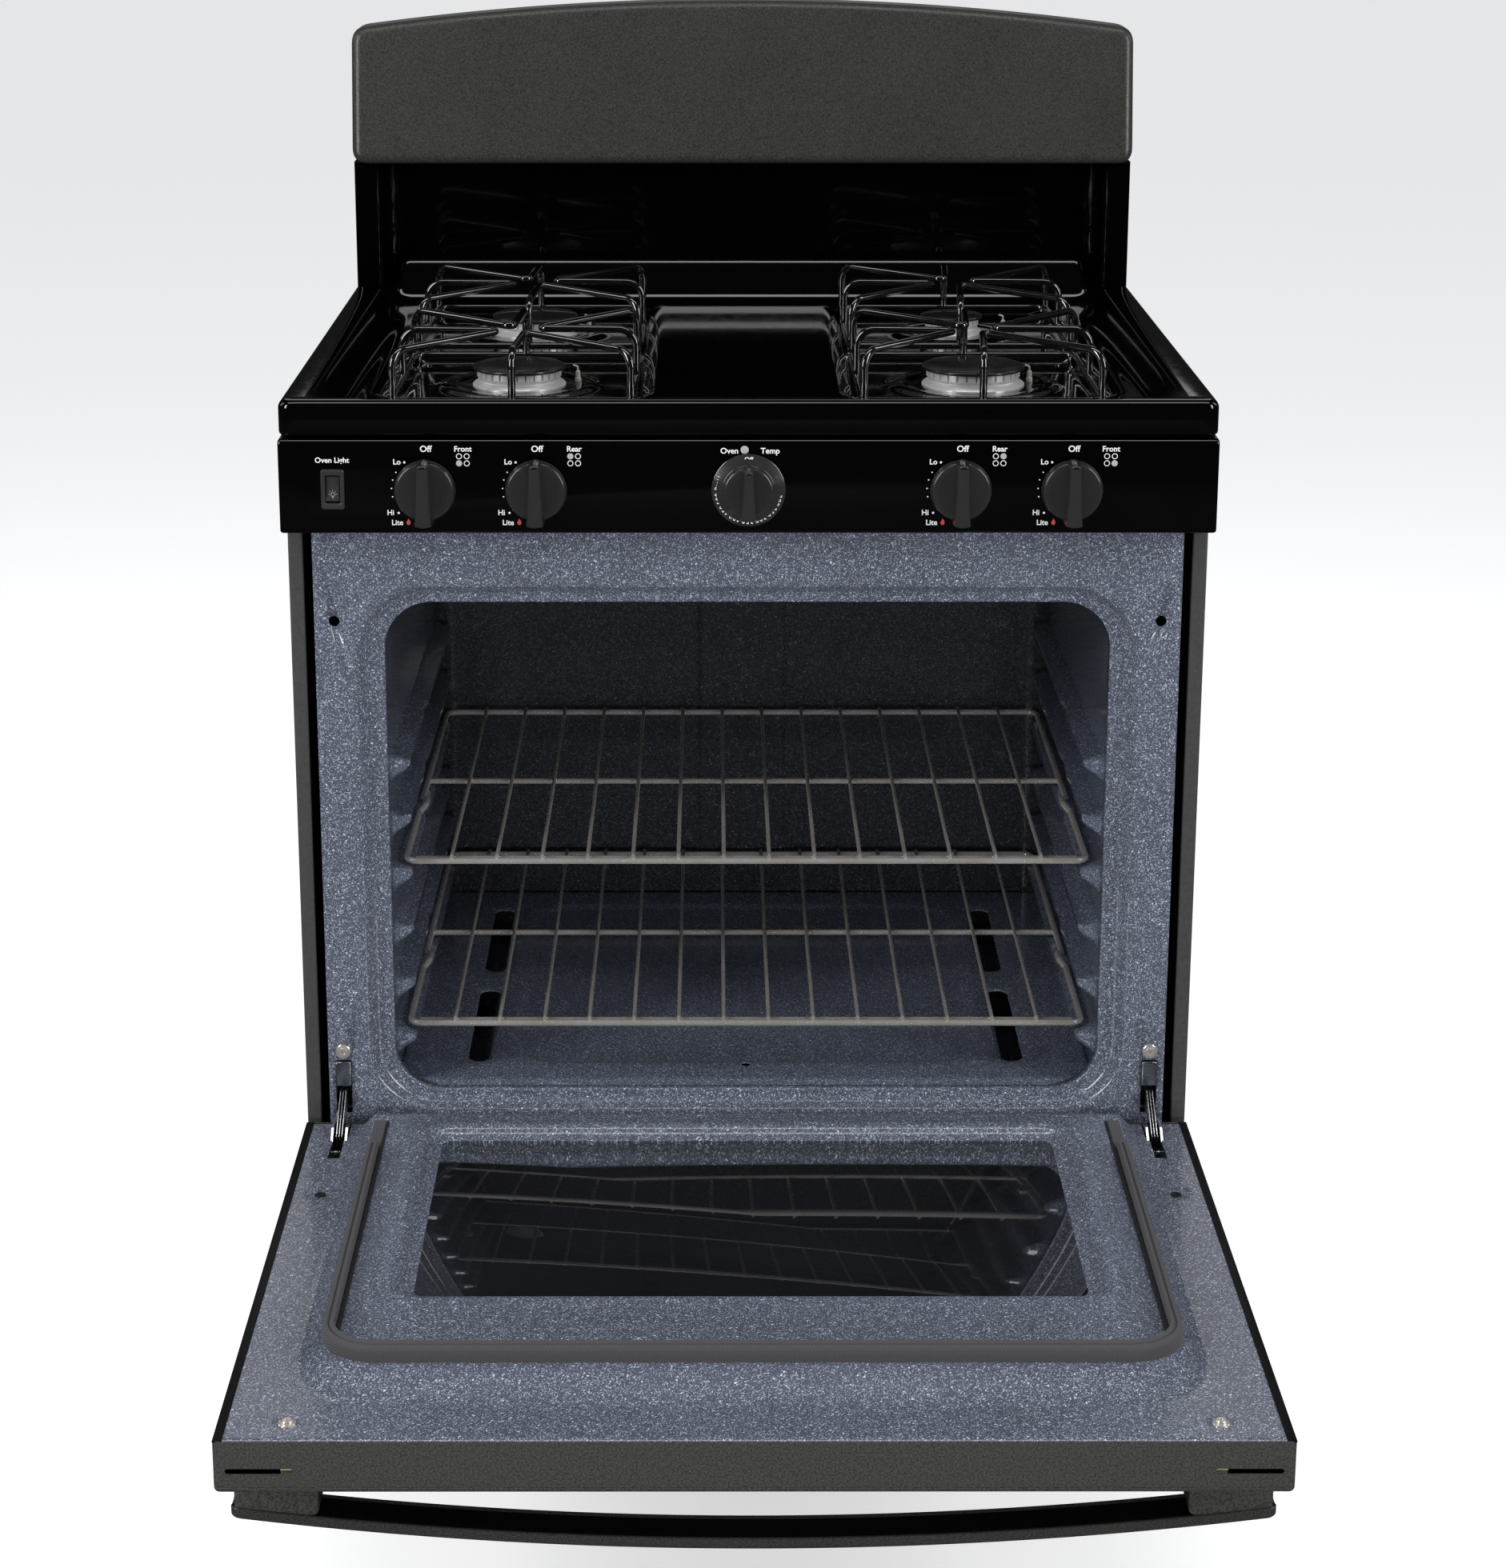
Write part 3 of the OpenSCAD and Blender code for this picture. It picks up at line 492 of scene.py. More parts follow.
def coated_steel(name, base, rough=0.36, metal=0.35, grain=0.12):
    """Satin coated steel: a very fine grain, slightly uneven sheen."""
    m = Nodes(name, Metallic=metal, Specular_IOR_Level=0.5)
    fine = m.ramp(m.noise(700, 3), [(0.36, 0.0), (0.64, 1.0)])
    m.colour(m.mix(fine, times(base, 0.6), times(base, 1.4)))
    m.roughness(m.ramp(m.noise(14, 5), [(0.3, rough * 0.88), (0.75, rough * 1.16)]))
    m.bump(m.noise(1100, 3), grain, 0.0001)
    m.done(name)


def textured_paint(name, base):
    """Pebbled dark paint of the side panels."""
    m = Nodes(name, Roughness=0.5, Specular_IOR_Level=0.45)
    m.colour(m.mix(m.noise(320, 4), times(base, 0.75), times(base, 1.3)))
    m.bump(m.noise(430, 3), 0.55, 0.0005)
    m.bump(m.cells(520, "SMOOTH_F1"), 0.3, 0.0004)
    m.done(name)


def metal(name, base, rough, brush=None, wear=0.12, aged=None, metallic=1.0):
    """Bare metal. brush stretches a fine scratch pattern along one axis; aged mixes in a dull tint."""
    m = Nodes(name, Metallic=metallic)
    tint = times(base, 1 - wear) if aged is None else aged
    m.colour(m.mix(m.ramp(m.noise(30, 6), [(0.38, 0.0), (0.72, 1.0)]), base, tint))
    m.roughness(m.ramp(m.noise(180, 5, brush), [(0.3, rough * 0.7), (0.8, rough * 1.5)]))
    m.bump(m.noise(700, 3, brush), 0.08, 0.0001)
    m.done(name)


def plastic(name, base, rough, grain=0.05, scale=900):
    """Moulded plastic: slightly uneven gloss over a fine grain."""
    m = Nodes(name, Specular_IOR_Level=0.5, Coat_Weight=0.25, Coat_Roughness=0.12)
    m.colour(m.mix(m.noise(70, 4), times(base, 0.85), times(base, 1.15)))
    m.roughness(m.ramp(m.noise(220, 4), [(0.3, rough * 0.8), (0.8, rough * 1.4)]))
    m.bump(m.noise(scale, 3), grain, 0.0001)
    m.done(name)


def fibrous(name, base, dark, scale, rough=0.95):
    """Glass-wool blanket."""
    m = Nodes(name, Roughness=rough, Sheen_Weight=0.25)
    fibres = m.noise(scale, 6, (1, 1, 3.0))
    m.colour(m.ramp(fibres, [(0.3, dark), (0.7, base)]))
    m.bump(fibres, 0.8, 0.001)
    m.done(name)


def braid(name, base):
    """Woven heat-proof gasket: crossed diagonal strands."""
    m = Nodes(name, Roughness=0.75, Sheen_Weight=0.1)
    weave = []
    for slant in (1, -1):
        w = m.tree.nodes.new("ShaderNodeTexWave")
        w.bands_direction = "DIAGONAL" if slant > 0 else "X"
        w.inputs["Scale"].default_value = 260
        w.inputs["Distortion"].default_value = 0.6
        m.link(m.stretched((slant, 1, 1)), w.inputs["Vector"])
        weave.append(w.outputs["Fac"])
    both_ways = m.mix(0.5, weave[0], weave[1])
    m.colour(m.ramp(both_ways, [(0.2, times(base, 0.55)), (0.8, times(base, 1.35))]))
    m.bump(both_ways, 0.35, 0.0004)
    m.done(name)


def dark_glass(name, base, rough=0.015):
    """Dark tinted glass, faintly smeared."""
    m = Nodes(name, Specular_IOR_Level=0.7, IOR=1.52, Coat_Weight=0.6, Coat_Roughness=0.01)
    m.colour(m.mix(m.noise(5, 2), times(base, 0.7), times(base, 1.3)))
    m.roughness(m.ramp(m.noise(45, 4), [(0.35, rough), (0.8, rough * 3)]))
    m.done(name)


def lamp_glass(name):
    """Clear pressed glass."""
    m = Nodes(name, Transmission_Weight=0.85, IOR=1.47)
    m.colour(m.ramp(m.noise(120, 2), [(0.3, (0.86, 0.88, 0.84)), (0.7, (0.98, 0.98, 0.95))]))
    m.roughness(m.ramp(m.noise(300, 3), [(0.3, 0.05), (0.7, 0.16)]))
    m.bump(m.cells(260), 0.35, 0.0006)
    m.done(name)


def print_ink(name, base):
    """Ink of the panel print."""
    m = Nodes(name, Roughness=0.45)
    m.colour(m.mix(m.noise(800, 3), times(base, 0.88), base))
    m.bump(m.noise(1500, 2), 0.05, 0.00005)
    m.done(name)


def make_materials():
    enamel("black_porcelain", (0.0008, 0.0008, 0.0009), 0.05)
    enamel("recess_porcelain", (0.0006, 0.0006, 0.0006), 0.03, coat=0.1)
    enamel("grate_enamel", (0.003, 0.003, 0.0032), 0.09, 0.1, 0.9)
    enamel("cap_enamel", (0.006, 0.006, 0.0062), 0.3, 0.1)
    speckled("speckled_porcelain", (0.078, 0.086, 0.118), (0.46, 0.515, 0.625))
    # Two copies of the oven-lining porcelain. The darker cavity_porcelain is the shaded copy for the rear
    # wall (painted shade). The lighter copy made next is painted light for the side walls and the floor.
    speckled("cavity_porcelain", (0.018, 0.019, 0.023), (0.10, 0.105, 0.125), 0.2, 0.45)
    speckled("cavity_side", (0.075, 0.088, 0.125), (0.38, 0.43, 0.54), 0.1, 0.8)
    coated_steel("charcoal_finish", (0.047, 0.047, 0.0445))
    coated_steel("door_finish", (0.068, 0.068, 0.065))
    coated_steel("handle_finish", (0.003, 0.003, 0.003), 0.45)
    textured_paint("side_enamel", (0.05, 0.05, 0.05))
    metal("galvanised", (0.55, 0.56, 0.57), 0.38, (1, 1, 8))
    metal("burner_steel", (0.42, 0.4, 0.37), 0.42, None, 0.2, (0.28, 0.24, 0.2))
    metal("burner_aluminium", (0.72, 0.72, 0.71), 0.42, (1, 1, 12), metallic=0.55)
    metal("rack_chrome", (0.85, 0.82, 0.78), 0.22, None, 0.1, (0.74, 0.68, 0.58), metallic=0.75)
    metal("zinc", (0.72, 0.74, 0.76), 0.24, (1, 1, 6), 0.15)
    metal("brass", (0.78, 0.6, 0.3), 0.28, (1, 8, 1))
    plastic("knob_plastic", (0.022, 0.022, 0.023), 0.2)
    plastic("switch_plastic", (0.028, 0.028, 0.028), 0.32, 0.12)
    plastic("leg_plastic", (0.03, 0.03, 0.03), 0.5, 0.2)
    plastic("ceramic", (0.4, 0.38, 0.34), 0.25)
    fibrous("insulation", (0.82, 0.74, 0.5), (0.55, 0.47, 0.27), 220)
    braid("gasket_braid", (0.055, 0.054, 0.058))
    dark_glass("door_glass", (0.008, 0.0085, 0.010))
    lamp_glass("lamp_glass")
    print_ink("white_print", (0.8, 0.8, 0.8))
    print_ink("grey_print", (0.42, 0.42, 0.42))
    print_ink("red_print", (0.5, 0.06, 0.05))
    plastic("hole_shadow", (0.004, 0.004, 0.004), 0.8)


make_materials()
SLOTS = {row["node"]: row["material_slot"] for row in frame["record"]["subparts"]}
for node_name, node_object in frame["nodes"].items():
    node_object.data.materials.clear()
    node_object.data.materials.append(MATERIALS[SLOTS[node_name]])

# ---------------------------------------------------------------- backguard


def arched_outline(half, low, side_top, top, corner):
    """Front view of the backguard, counter-clockwise, its top a shallow arc."""
    rise = top - side_top
    arch_r = (half * half + rise * rise) / (2 * rise)

    def arch(x):
        return top - arch_r + math.sqrt(arch_r * arch_r - x * x)

    def bend(a, b, c, n=8):
        return [tuple((1 - t) ** 2 * np.array(a) + 2 * t * (1 - t) * np.array(b) + t * t * np.array(c))
                for t in np.linspace(0, 1, n)]

    pts = []
    pts += bend((half - corner, low), (half, low), (half, low + corner))
    pts += bend((half, side_top - corner), (half, side_top), (half - corner, arch(half - corner)))
    pts += [(x, arch(x)) for x in np.linspace(half - corner, -half + corner, 60)[1:-1]]
    pts += bend((-half + corner, arch(half - corner)), (-half, side_top), (-half, side_top - corner))
    pts += bend((-half, low + corner), (-half, low), (-half + corner, low))
    return np.array(pts)


def make_backguard():
    """Backguard with an arched top and rounded edges, leaning back a little."""
    b = Box("backguard_panel")
    side_top, lean = b.z1 - 26, 25
    outline = arched_outline(b.x1, b.z0, side_top, b.z1, 15)

    def front(z):
        return b.y0 + lean * (z - b.z0) / (side_top - b.z0)

    rings = []
    edge = 9
    for i in range(9):
        a = math.pi / 2 * i / 8
        d = edge * (1 - math.sin(a))
        rings.append([(x, front(z) + edge * (1 - math.cos(a)) + 0.02, z) for x, z in inset(outline, d)])
    for k in (0.4, 1.0):
        rings.append([(x, (front(z) + edge) * (1 - k) + b.y1 * k, z) for x, z in outline])
    rings.append([(x, b.y1, z) for x, z in inset(outline, 3)])
    add_mesh("backguard", *loft(rings, cap=(True, True)), "charcoal_finish", "cabinet", "backguard_panel",
             sharp=50)


def make_backsplash():
    """Recess wall whose ends curve forward into two glossy posts."""
    b = Box("backsplash")
    wall, post_front = b.y1 - 12, b.y0
    right = arc_path([(0, wall), (350, wall), (352, post_front), (b.x1, post_front), (b.x1, b.y1)],
                     [0, 16, 7, 8, 0], n=8)
    front_line = [(-x, y) for x, y in reversed(right)][:-1] + [tuple(p) for p in right]
    back_line = [(b.x1 - 1.5, b.y1), (-b.x1 + 1.5, b.y1)]
    outline = front_line + back_line
    rings = []
    for z in (b.z0, b.z0 + 4, b.z0 + 40, b.z1 - 20, b.z1):
        rings.append(level(outline, z))
    add_mesh("backsplash_wall", *loft(rings, cap=(True, True)), "recess_porcelain", "cabinet", "backsplash",
             "black_porcelain", sharp=40)


# ---------------------------------------------------------------- cooktop


# Each burner's X and Y, and the radius of its cap.
BURNERS = {"left_front": (-196, 163, 40), "left_rear": (-196, 428, 40),
           "right_front": (196, 163, 44), "right_rear": (196, 428, 29)}


def make_cooktop():
    """Pressed tray: rolled rim, lowered deck, a well for each pair of burners and a raised ledge behind."""
    b = Box("cooktop")
    ledge_rise, ledge_run = 29, 34
    ledge_start = b.y1 - 56
    rim = b.z1 - ledge_rise
    corner, edge = 12, 7  # radii of the tray's corners and of its rolled edge
    rim_flat, bowl = 11, 46  # widths of the flat rim and of the slope inside it
    deck = 12  # how far the deck lies below the rim
    well_depth, well_slope = 11, 30

    def height(x, y):
        inside = -rect_distance(x, y, b.x0, b.x1, b.y0, b.y1, corner)
        z = rim - deck * smooth((inside - rim_flat) / bowl)
        well = rect_distance(np.abs(x), y, 81, 311, 46, 546, 34)
        z = z - well_depth * smooth((6 - well) / well_slope)
        for bx, by, r in BURNERS.values():  # a low boss with a dished middle
            d = np.hypot(x - bx, y - by)
            z = z + 2.2 * smooth((r + 32 - d) / 10) - 1.2 * smooth((r + 16 - d) / 6)
        side = 1 - smooth((np.abs(x) - (b.x1 - 50)) / 17)
        climb = smooth((y - ledge_start) / ledge_run)
        z = z * (1 - climb * side) + (rim + ledge_rise) * climb * side
        flat_side = smooth((y - ledge_start) / 20) * (1 - side)
        z = z * (1 - flat_side) + rim * flat_side
        roll = np.clip(edge - inside, 0, edge)
        return z - (edge - np.sqrt(np.maximum(edge * edge - roll * roll, 0)))

    near_edge = [0, 0.25, 0.8, 1.6, 2.7, 4, 5.5, 7.2, 9.5]
    xs = lines(b.x0, b.x1, 3.2, [b.x0 + e for e in near_edge] + [b.x1 - e for e in near_edge])
    ys = lines(b.y0, b.y1, 3.2, [b.y0 + e for e in near_edge] + [b.y1 - e for e in near_edge])
    gx, gy = np.meshgrid(xs, ys)
    cx = np.clip(gx, b.x0 + corner, b.x1 - corner)
    cy = np.clip(gy, b.y0 + corner, b.y1 - corner)
    u, v = gx - cx, gy - cy
    length = np.hypot(u, v)
    in_corner = (np.abs(u) > 0) & (np.abs(v) > 0)
    squeeze = np.where(in_corner, np.maximum(np.abs(u), np.abs(v)) / np.maximum(length, 1e-9), 1)
    px, py = cx + u * squeeze, cy + v * squeeze
    pz = height(px, py)
    nx, ny = len(xs), len(ys)
    verts = [tuple(p) for p in np.column_stack([px.ravel(), py.ravel(), pz.ravel()])]
    faces = [(j * nx + i, j * nx + i + 1, (j + 1) * nx + i + 1, (j + 1) * nx + i)
             for j in range(ny - 1) for i in range(nx - 1)]
    rim_loop = (list(range(nx)) + [j * nx + nx - 1 for j in range(1, ny)]
                + [(ny - 1) * nx + i for i in range(nx - 2, -1, -1)] + [j * nx for j in range(ny - 2, 0, -1)])
    outline = np.array([verts[i][:2] for i in rim_loop])
    lip, side_drop = rim - 29, 3.5  # the skirt's lower edge, and how much lower it runs along the sides
    skirt = [(0, lip + 3), (0.4, lip + 1.2), (1.6, lip + 0.2), (3.5, lip), (12, lip + 0.5)]
    previous = rim_loop
    for d, z in skirt:
        start = len(verts)
        verts += [(x, y, z - side_drop * float(smooth((y - 5) / 15))) for x, y in inset(outline, d)]
        ring = list(range(start, start + len(rim_loop)))
        n = len(ring)
        faces += [(previous[i], ring[i], ring[(i + 1) % n], previous[(i + 1) % n]) for i in range(n)]
        previous = ring
    add_mesh("cooktop_tray", verts, faces, "black_porcelain", "cabinet", "cooktop", sharp=60)


def make_burners():
    """Notched aluminium heads, their enamelled caps, and the spark electrodes."""
    well = Box("burner_heads").z1 - 15
    heads, caps = [], []
    for bx, by, cap in BURNERS.values():
        r = cap - 4
        slots = 30 if cap > 35 else 22

        def notched(radius, h, a, r=r, slots=slots):
            if h < 9.6 or h > 14.6 or radius < r - 2:
                return radius
            near = abs((a / (2 * math.pi) * slots) % 1 - 0.5)
            return radius - (2.4 if near < 0.09 else 0)

        profile = [(r + 3.4, 0.1), (r + 4.2, 0.8), (r + 4.2, 2.2), (r + 3.2, 3.2), (r + 0.8, 4.6),
                   (r - 0.6, 6.6), (r - 0.4, 8.4), (r + 0.3, 9.2), (r + 0.3, 9.7), (r + 0.3, 12.2),
                   (r + 0.3, 14.5), (r - 0.2, 15), (r - 6, 15), (0, 15)]
        heads.append(lathe(profile, (bx, by, well), n=240, radius_at=notched))
        dome = [(cap - 5, 15.05), (cap - 0.8, 15.1), (cap, 15.8), (cap, 17.2), (cap - 0.8, 18.2),
                (cap - 3, 18.9), (cap - 9, 19.6), (cap * 0.55, 20.1), (cap * 0.25, 20.4), (0, 20.5)]
        caps.append(lathe(dome, (bx, by, well), n=96))
    add_mesh("heads", *merge(heads), "burner_aluminium", "cabinet", "burner_heads", sharp=40)
    add_mesh("caps", *merge(caps), "cap_enamel", "cabinet", "burner_caps", sharp=50)
    pins = []
    for bx, by, _ in BURNERS.values():
        at = (bx + 50, by + 14, well)
        pins.append(lathe([(2.8, 0), (2.8, 4), (2.1, 4.6), (2.1, 9.5), (1.4, 10.5), (0, 10.5)], at, n=20))
        tip = [(at[0], at[1], well + 9.5), (at[0], at[1], well + 14), (at[0] - 4, at[1] - 1, well + 15.5)]
        pins.append(tube(arc_path(tip, 1.5, 5), 0.8, 8))
    add_mesh("electrodes", *merge(pins), "ceramic", "cabinet", "spark_electrodes")


def make_grates():
    """Enamelled wire grates: a square base frame and four bent wires set like a pinwheel."""
    for name, (bx, by, _) in BURNERS.items():
        b = Box("grate_" + name)
        r = 3.2
        gx, gy = (b.x1 - b.x0) / 2 - 3.6, (b.y1 - b.y0) / 2 - 3.6
        base, top = b.z0 + 6.8, b.z1 - 3.7
        near, aside = 15, 6  # where each wire ends near the burner's middle
        bend = 15
        pulled_in = 0.985
        parts = []
        square = [(-gx, -gy, base), (gx, -gy, base), (gx, gy, base), (-gx, gy, base)]
        parts.append(tube(arc_path(square, 11, 6, closed=True), r, 14, closed=True))
        wires = [((-gx, gy), (0, gy), (-aside, near)), ((-gx, -gy), (-gx, 0), (-near, -aside)),
                 ((gx, -gy), (0, -gy), (aside, -near)), ((gx, gy), (gx, 0), (near, aside))]
        for corner, side, middle in wires:
            c = np.array(corner) * pulled_in
            path = [(c[0], c[1], base), (c[0], c[1], top), (*middle, top), (*side, top), (*side, base)]
            parts.append(tube(arc_path(path, [0, bend, 4.5, bend, 0], 9), r, 14))
        for sx in (-1, 1):
            for sy in (-1, 1):
                parts.append(lathe([(3.3, b.z0), (3.9, b.z0 + 0.6), (3.9, b.z0 + 4), (3.2, b.z0 + 6)],
                                   (sx * (gx - 4), sy * (gy - 4), 0), n=16))
        verts, faces = moved(merge(parts), bx, by)
        grate = "grate_" + name
        add_mesh("grate_wire_" + name, verts, faces, "grate_enamel", grate, grate, sharp=60)


# ---------------------------------------------------------------- control panel


def make_panel():
    """Control panel's front, with an opening for the light switch."""
    b = Box("control_panel")
    corners = [(b.y0, b.z0), (b.y1, b.z0), (b.y1, b.z1), (b.y0, b.z1)]
    outline = arc_path(corners, [3, 0.6, 0.6, 4.5], 6, closed=True)
    part = slab(outline, b.x0, b.x1, 2.5, 2.5, along_x)
    obj = add_mesh("panel_front", *part, "black_porcelain", "cabinet", "control_panel", sharp=50)
    s = Box("switch_housing")
    cut(obj, capsule(s.x0 + 1, s.x1 - 1, s.z0 + 1, s.z1 - 1, 1, along_y, b.y0 - 5, b.y0 + 17))


def tapered_bar(x, z, y_back, y_tip, half_top, half_low, reach):
    """Finger bar of a knob, narrow at its pointer end, with softly rounded edges."""
    right = []
    for t in np.linspace(-1, 1, 15):
        w = half_low + (half_top - half_low) * (t + 1) / 2
        right.append((w, t * (reach - 1.2 * (1 - abs(t)))))
    angle = np.linspace(0, 1, 7)[1:-1]
    top = [(half_top * (1 - 2 * k), reach + 1.6 * math.sin(math.pi * k)) for k in angle]
    low = [(-half_low * (1 - 2 * k), -reach - 1.8 * math.sin(math.pi * k)) for k in angle]
    outline = right + top + [(-a, c) for a, c in reversed(right)] + low
    outline = [(a + x, c + z) for a, c in outline]
    return slab(outline, y_back, y_tip, 0, 2.2, along_y, 6, draft=0.9)


def make_knobs():
    """Four burner knobs: a round skirt and a tapered finger bar."""
    for name in ("left_front", "left_rear", "right_rear", "right_front"):
        b = Box("knob_" + name)
        x, z = b.x, b.z
        back, tip = b.y1, b.y0
        r = 25
        skirt = [(r - 1.2, 0), (r, -0.4), (r, -1.4), (r - 0.5, -2.2), (r - 0.9, -6.2), (r - 1.6, -7.6),
                 (r - 3, -8.3), (r - 6.5, -8.0), (r - 12, -7.2), (0, -6.8)]
        body = lathe([(a, back + h) for a, h in skirt], (x, 0, z), "y", 96)
        bar = tapered_bar(x, z, back - 4, tip + 0.1, 5.2, 7.4, 25.0)
        knob = "knob_" + name
        add_mesh(knob + "_grip", *merge([body, bar]), "knob_plastic", knob, knob, sharp=42)


def make_dial():
    """Oven dial: a wide skirt that carries the numbers, and a tapered finger bar."""
    b = Box("oven_dial")
    z = b.z
    back, tip = b.y1, b.y0
    r = 30
    skirt = [(r - 0.6, 0), (r, -0.3), (r, -0.8), (r - 0.6, -1.3), (21.6, -3.4), (21.0, -3.8), (20.6, -4.4),
             (20.4, -9.0), (19.6, -10.2), (18.0, -10.8), (14, -10.2), (0, -9.6)]
    body = lathe([(a, back + h) for a, h in skirt], (0, 0, z), "y", 120)
    bar = tapered_bar(0, z, back - 6, tip + 0.1, 4.6, 7.0, 20.0)
    add_mesh("dial_grip", *merge([body, bar]), "knob_plastic", "oven_dial", "oven_dial", sharp=42)


def letters(text, size, centre, y, turn=0.0, align="CENTER"):
    """Raised print of a word, facing the front, as (verts, faces). centre is X, Z; turn is in degrees."""
    curve = bpy.data.curves.new("print", "FONT")
    curve.body, curve.size, curve.align_x, curve.align_y = text, size, align, "CENTER"
    curve.extrude, curve.resolution_u = 0.03, 3
    curve.offset = size * 0.02
    temp = new_object("print", curve)
    bpy.context.view_layer.update()
    mesh = bpy.data.meshes.new_from_object(temp.evaluated_get(bpy.context.evaluated_depsgraph_get()))
    ca, sa = math.cos(math.radians(turn)), math.sin(math.radians(turn))
    verts = [(centre[0] + v.co.x * ca - v.co.y * sa, y - v.co.z, centre[1] + v.co.x * sa + v.co.y * ca)
             for v in mesh.vertices]
    faces = [tuple(p.vertices) for p in mesh.polygons]
    bpy.data.objects.remove(temp)
    bpy.data.curves.remove(curve)
    bpy.data.meshes.remove(mesh)
    return verts, faces


def polar(x, z, r, degrees):
    """The point at a distance and an angle from (x, z)."""
    a = math.radians(degrees)
    return (x + r * math.cos(a), z + r * math.sin(a))


def dot(x, z, r, y, n=16):
    """A flat round mark."""
    return lathe([(0, y - 0.06), (r, y - 0.06), (r, y + 0.03)], (x, 0, z), "y", n)


def circle_mark(x, z, r, line, y):
    """A thin ring mark."""
    section = [(r - line, y - 0.06), (r, y - 0.06), (r, y + 0.02), (r - line, y + 0.02)]
    return lathe(section, (x, 0, z), "y", 24, hoop=True)


def flame(x, z, size, y):
    """A small flame mark."""
    shape = [(0, 1.0), (0.18, 0.62), (0.46, 0.25), (0.55, -0.2), (0.4, -0.62), (0.12, -0.8), (-0.12, -0.8),
             (-0.4, -0.62), (-0.55, -0.2), (-0.42, 0.2), (-0.2, 0.45), (-0.1, 0.7)]
    return slab([(x + a * size, z + c * size) for a, c in reversed(shape)], y + 0.03, y - 0.06, 0, 0, along_y)


def make_markings():
    """Generic words and dots round the knobs, set on the panel's face."""
    y = Box("control_panel").y0 - 0.02
    white, grey, red = [], [], []
    places = [("left_front", "Front", (-1, -1)), ("left_rear", "Rear", (-1, 1)),
              ("right_rear", "Rear", (1, 1)), ("right_front", "Front", (1, -1))]
    for name, word, (sx, sz) in places:
        b = Box("knob_" + name)
        x, z = b.x, b.z
        white.append(letters("Off", 7.2, (x + 1, z + 33.2), y))
        white.append(letters("Lo", 6.2, (x - 22.5, z + 22.5), y))
        white.append(letters("Hi", 6.2, (x - 28.5, z - 19.5), y))
        white.append(letters("Lite", 6.2, (x - 23.2, z - 27.8), y))
        white.append(dot(x - 16.4, z + 22.3, 0.95, y))
        white.append(dot(x - 22.0, z - 19.6, 0.95, y))
        for a in (149, 163.5, 178.5, 193):
            white.append(dot(*polar(x, z, 27.3, a), 0.6, y))
        red.append(flame(x - 14.2, z - 27.2, 3.1, y))
        white.append(letters(word, 6.4, (x + 31, z + 33.2), y))
        for cx in (-1, 1):
            for cz in (-1, 1):
                at = (x + 31 + cx * 3.1, z + 24.4 + cz * 2.9)
                if (cx, cz) == (sx, sz):
                    grey.append(dot(*at, 2.5, y, 24))
                else:
                    white.append(circle_mark(*at, 2.4, 0.6, y))
    z = Box("oven_dial").z
    white.append(letters("Oven", 6.6, (-15.5, z + 31.6), y))
    white.append(letters("Temp", 6.6, (17.5, z + 31.6), y))
    grey.append(dot(-3.2, z + 32.6, 3.3, y, 32))
    s = Box("switch_housing")
    white.append(letters("Oven Light", 6.2, (s.x, s.z1 + 7.4), y))
    add_mesh("panel_words", *merge(white), "white_print", "cabinet", (), "black_porcelain")
    add_mesh("panel_dots", *merge(grey), "grey_print", "cabinet", (), "black_porcelain")
    add_mesh("panel_flames", *merge(red), "red_print", "cabinet", (), "black_porcelain")
    dial = Box("oven_dial")
    face = dial.y1 - 2.15
    reach = 25.6
    marks = [letters("Off", 5.3, (0, z + 25.7), face)]
    for i, number in enumerate(range(200, 501, 50)):
        a = 108 + i * 24.5
        for k, digit in enumerate(str(number)):
            turn = (k - 1) * 7.4
            marks.append(letters(digit, 4.9, polar(0, z, reach, 90 - a - turn), face, -a - turn))
        marks.append(dot(*polar(0, z, reach, 90 - a - 12.3), 0.5, face))
    for k, letter in enumerate("Broil"):
        a = 274 + k * 5.4
        marks.append(letters(letter, 4.7, polar(0, z, reach, 90 - a), face, -a))
    add_mesh("dial_numbers", *merge(marks), "white_print", "oven_dial", (), "knob_plastic")


